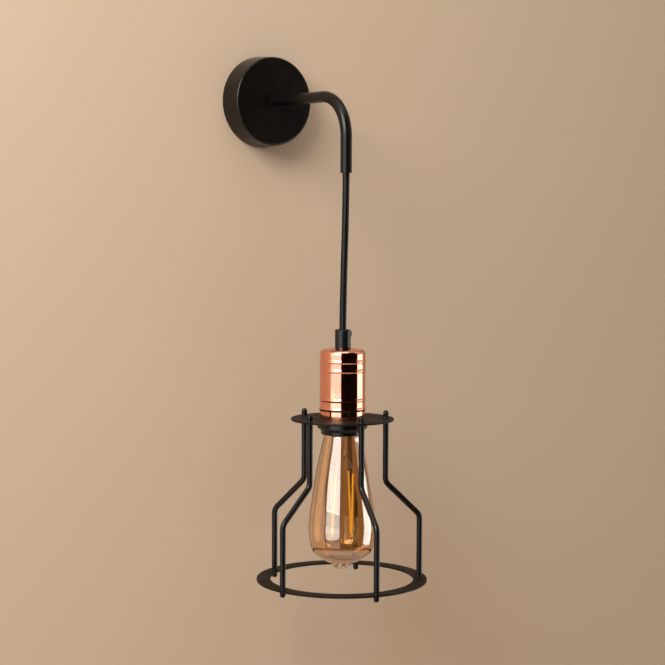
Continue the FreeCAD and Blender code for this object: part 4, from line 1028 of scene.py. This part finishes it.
def stage_piece(name, corners, faces, material):
    """A piece of the set, made from its corners and faces."""
    mesh = bpy.data.meshes.new(name)
    mesh.from_pydata(corners, [], faces)
    mesh.materials.append(material)
    piece = bpy.data.objects.new(name, mesh)
    bpy.context.scene.collection.objects.link(piece)
    return piece


def card(name, centre, across, upward, width, height, material):
    """A flat card with its face along across × upward."""
    across, upward = Vector(across).normalized(), Vector(upward).normalized()
    centre = Vector(centre)
    corners = [centre + across * x * width / 2 + upward * z * height / 2
               for x, z in ((-1, -1), (1, -1), (1, 1), (-1, 1))]
    return stage_piece(name, corners, [(0, 1, 2, 3)], material)


WALL_BEHIND = 0.4 * MM
WALL_HOLE = 38.0 * MM
WALL_REACH = 3.6
WALL_STEPS = 96
FLOOR_HEIGHT, FLOOR_SIZE = -1.20, 8.0
wall_paint = one_sided("wall_paint", (0.63, 0.475, 0.345, 1))
floor_paint = one_sided("floor_paint", (0.72, 0.63, 0.54, 1))


def wall_with_hole():
    """A wide flat ring that faces the room. Its hole, where the cable comes out, is hidden by the canopy."""
    angles = [2 * math.pi * i / WALL_STEPS for i in range(WALL_STEPS)]
    corners = [(math.cos(angle) * reach, WALL_BEHIND, math.sin(angle) * reach)
               for reach in (WALL_HOLE, WALL_REACH) for angle in angles]
    faces = [(i, (i + 1) % WALL_STEPS, (i + 1) % WALL_STEPS + WALL_STEPS, i + WALL_STEPS)
             for i in range(WALL_STEPS)]
    wall = stage_piece("wall", corners, faces, wall_paint)
    if wall.data.polygons[0].normal.y > 0:
        wall.data.flip_normals()


wall_with_hole()
card("floor", (0, 0, FLOOR_HEIGHT), (1, 0, 0), (0, 1, 0), FLOOR_SIZE, FLOOR_SIZE, floor_paint)

# %% Lights and black cards
MIDDLE_HEIGHT = -0.30
lamp_middle = Vector((lamp_axis.x, lamp_axis.y, MIDDLE_HEIGHT))
to_camera = VIEW_PLACE - lamp_middle
to_camera.z = 0
to_camera.normalize()
camera_left = -level_right


def direction(left_degrees, up_degrees):
    """A direction from the lamp: so many degrees to the camera's left, and upwards."""
    side = math.radians(left_degrees)
    rise = math.radians(up_degrees)
    level = to_camera * math.cos(side) + camera_left * math.sin(side)
    return (level * math.cos(rise) + Vector((0, 0, math.sin(rise)))).normalized()


def softbox(name, left, rise, distance, width, height, radiance, tint=(1, 1, 1), lights_wall=True):
    """A soft area light that faces the lamp. One that does not light the wall is seen in reflections only."""
    data = bpy.data.lights.new(name, "AREA")
    data.shape = "RECTANGLE"
    data.size, data.size_y = width, height
    data.energy = radiance * math.pi * width * height
    data.color = tint
    box = bpy.data.objects.new(name, data)
    box.location = lamp_middle + direction(left, rise) * distance
    box.rotation_euler = direction(left, rise).to_track_quat("Z", "Y").to_euler()
    box.visible_camera = False
    box.visible_diffuse = lights_wall
    bpy.context.scene.collection.objects.link(box)


softbox("key_light", 30, 36, 1.7, 0.9, 0.9, 11.5, (1.0, 0.98, 0.95))
softbox("left_high_panel", 34, 18, 1.25, 1.36, 0.75, 2.3, (0.93, 1.0, 1.04), lights_wall=False)
softbox("left_panel", 43, -1.6, 1.15, 1.90, 0.125, 0.96, (0.84, 1.12, 1.28), lights_wall=False)
softbox("left_low_panel", 34, -14, 1.25, 1.36, 0.41, 1.7, (0.93, 1.0, 1.04), lights_wall=False)
softbox("right_strip", -98, -10, 1.0, 0.66, 0.62, 2.3, (0.95, 1.0, 1.05), lights_wall=False)
softbox("top_light", 0, 72, 1.5, 1.0, 0.8, 1.5)
softbox("back_light", 175, 12, 1.6, 1.2, 1.0, 5.0)

CARD_DISTANCE, CARD_RAISE, CARD_HEIGHT = 1.1, 0.45, 2.6
upright = Vector((0, 0, 1))
tree, shader = begin("black_cloth")
wire_up(tree, shader, Base_Color=(0.008, 0.007, 0.006, 1), Specular_IOR_Level=0.0, Roughness=0.9)
for name, left, width in (("black_card_front", -16, 0.98), ("black_card_side", -59, 0.78)):
    way = direction(left, 0)
    centre = lamp_middle + way * CARD_DISTANCE + upright * CARD_RAISE
    flag = card(name, centre, way.cross(upright), upright, width, CARD_HEIGHT, finish_called("black_cloth"))
    flag.visible_camera = flag.visible_diffuse = flag.visible_shadow = False

# %% World and view settings
world = bpy.data.worlds.new("studio")
bpy.context.scene.world = world
world.use_nodes = True
tree = world.node_tree
tree.nodes.clear()
rays = add(tree, "ShaderNodeLightPath").outputs
seen = maths(tree, "MAXIMUM", rays["Is Camera Ray"],
             maths(tree, "MAXIMUM", rays["Is Glossy Ray"], rays["Is Transmission Ray"]))
pale = add(tree, "ShaderNodeBackground", {"Color": (0.74, 0.65, 0.56, 1), "Strength": 1.0})
fill = add(tree, "ShaderNodeBackground", {"Color": (1.0, 0.97, 0.94, 1), "Strength": 0.38})
both = add(tree, "ShaderNodeMixShader", {0: seen, 1: fill.outputs[0], 2: pale.outputs[0]})
tree.links.new(both.outputs[0], add(tree, "ShaderNodeOutputWorld").inputs["Surface"])
bpy.context.scene.view_settings.view_transform = "Standard"
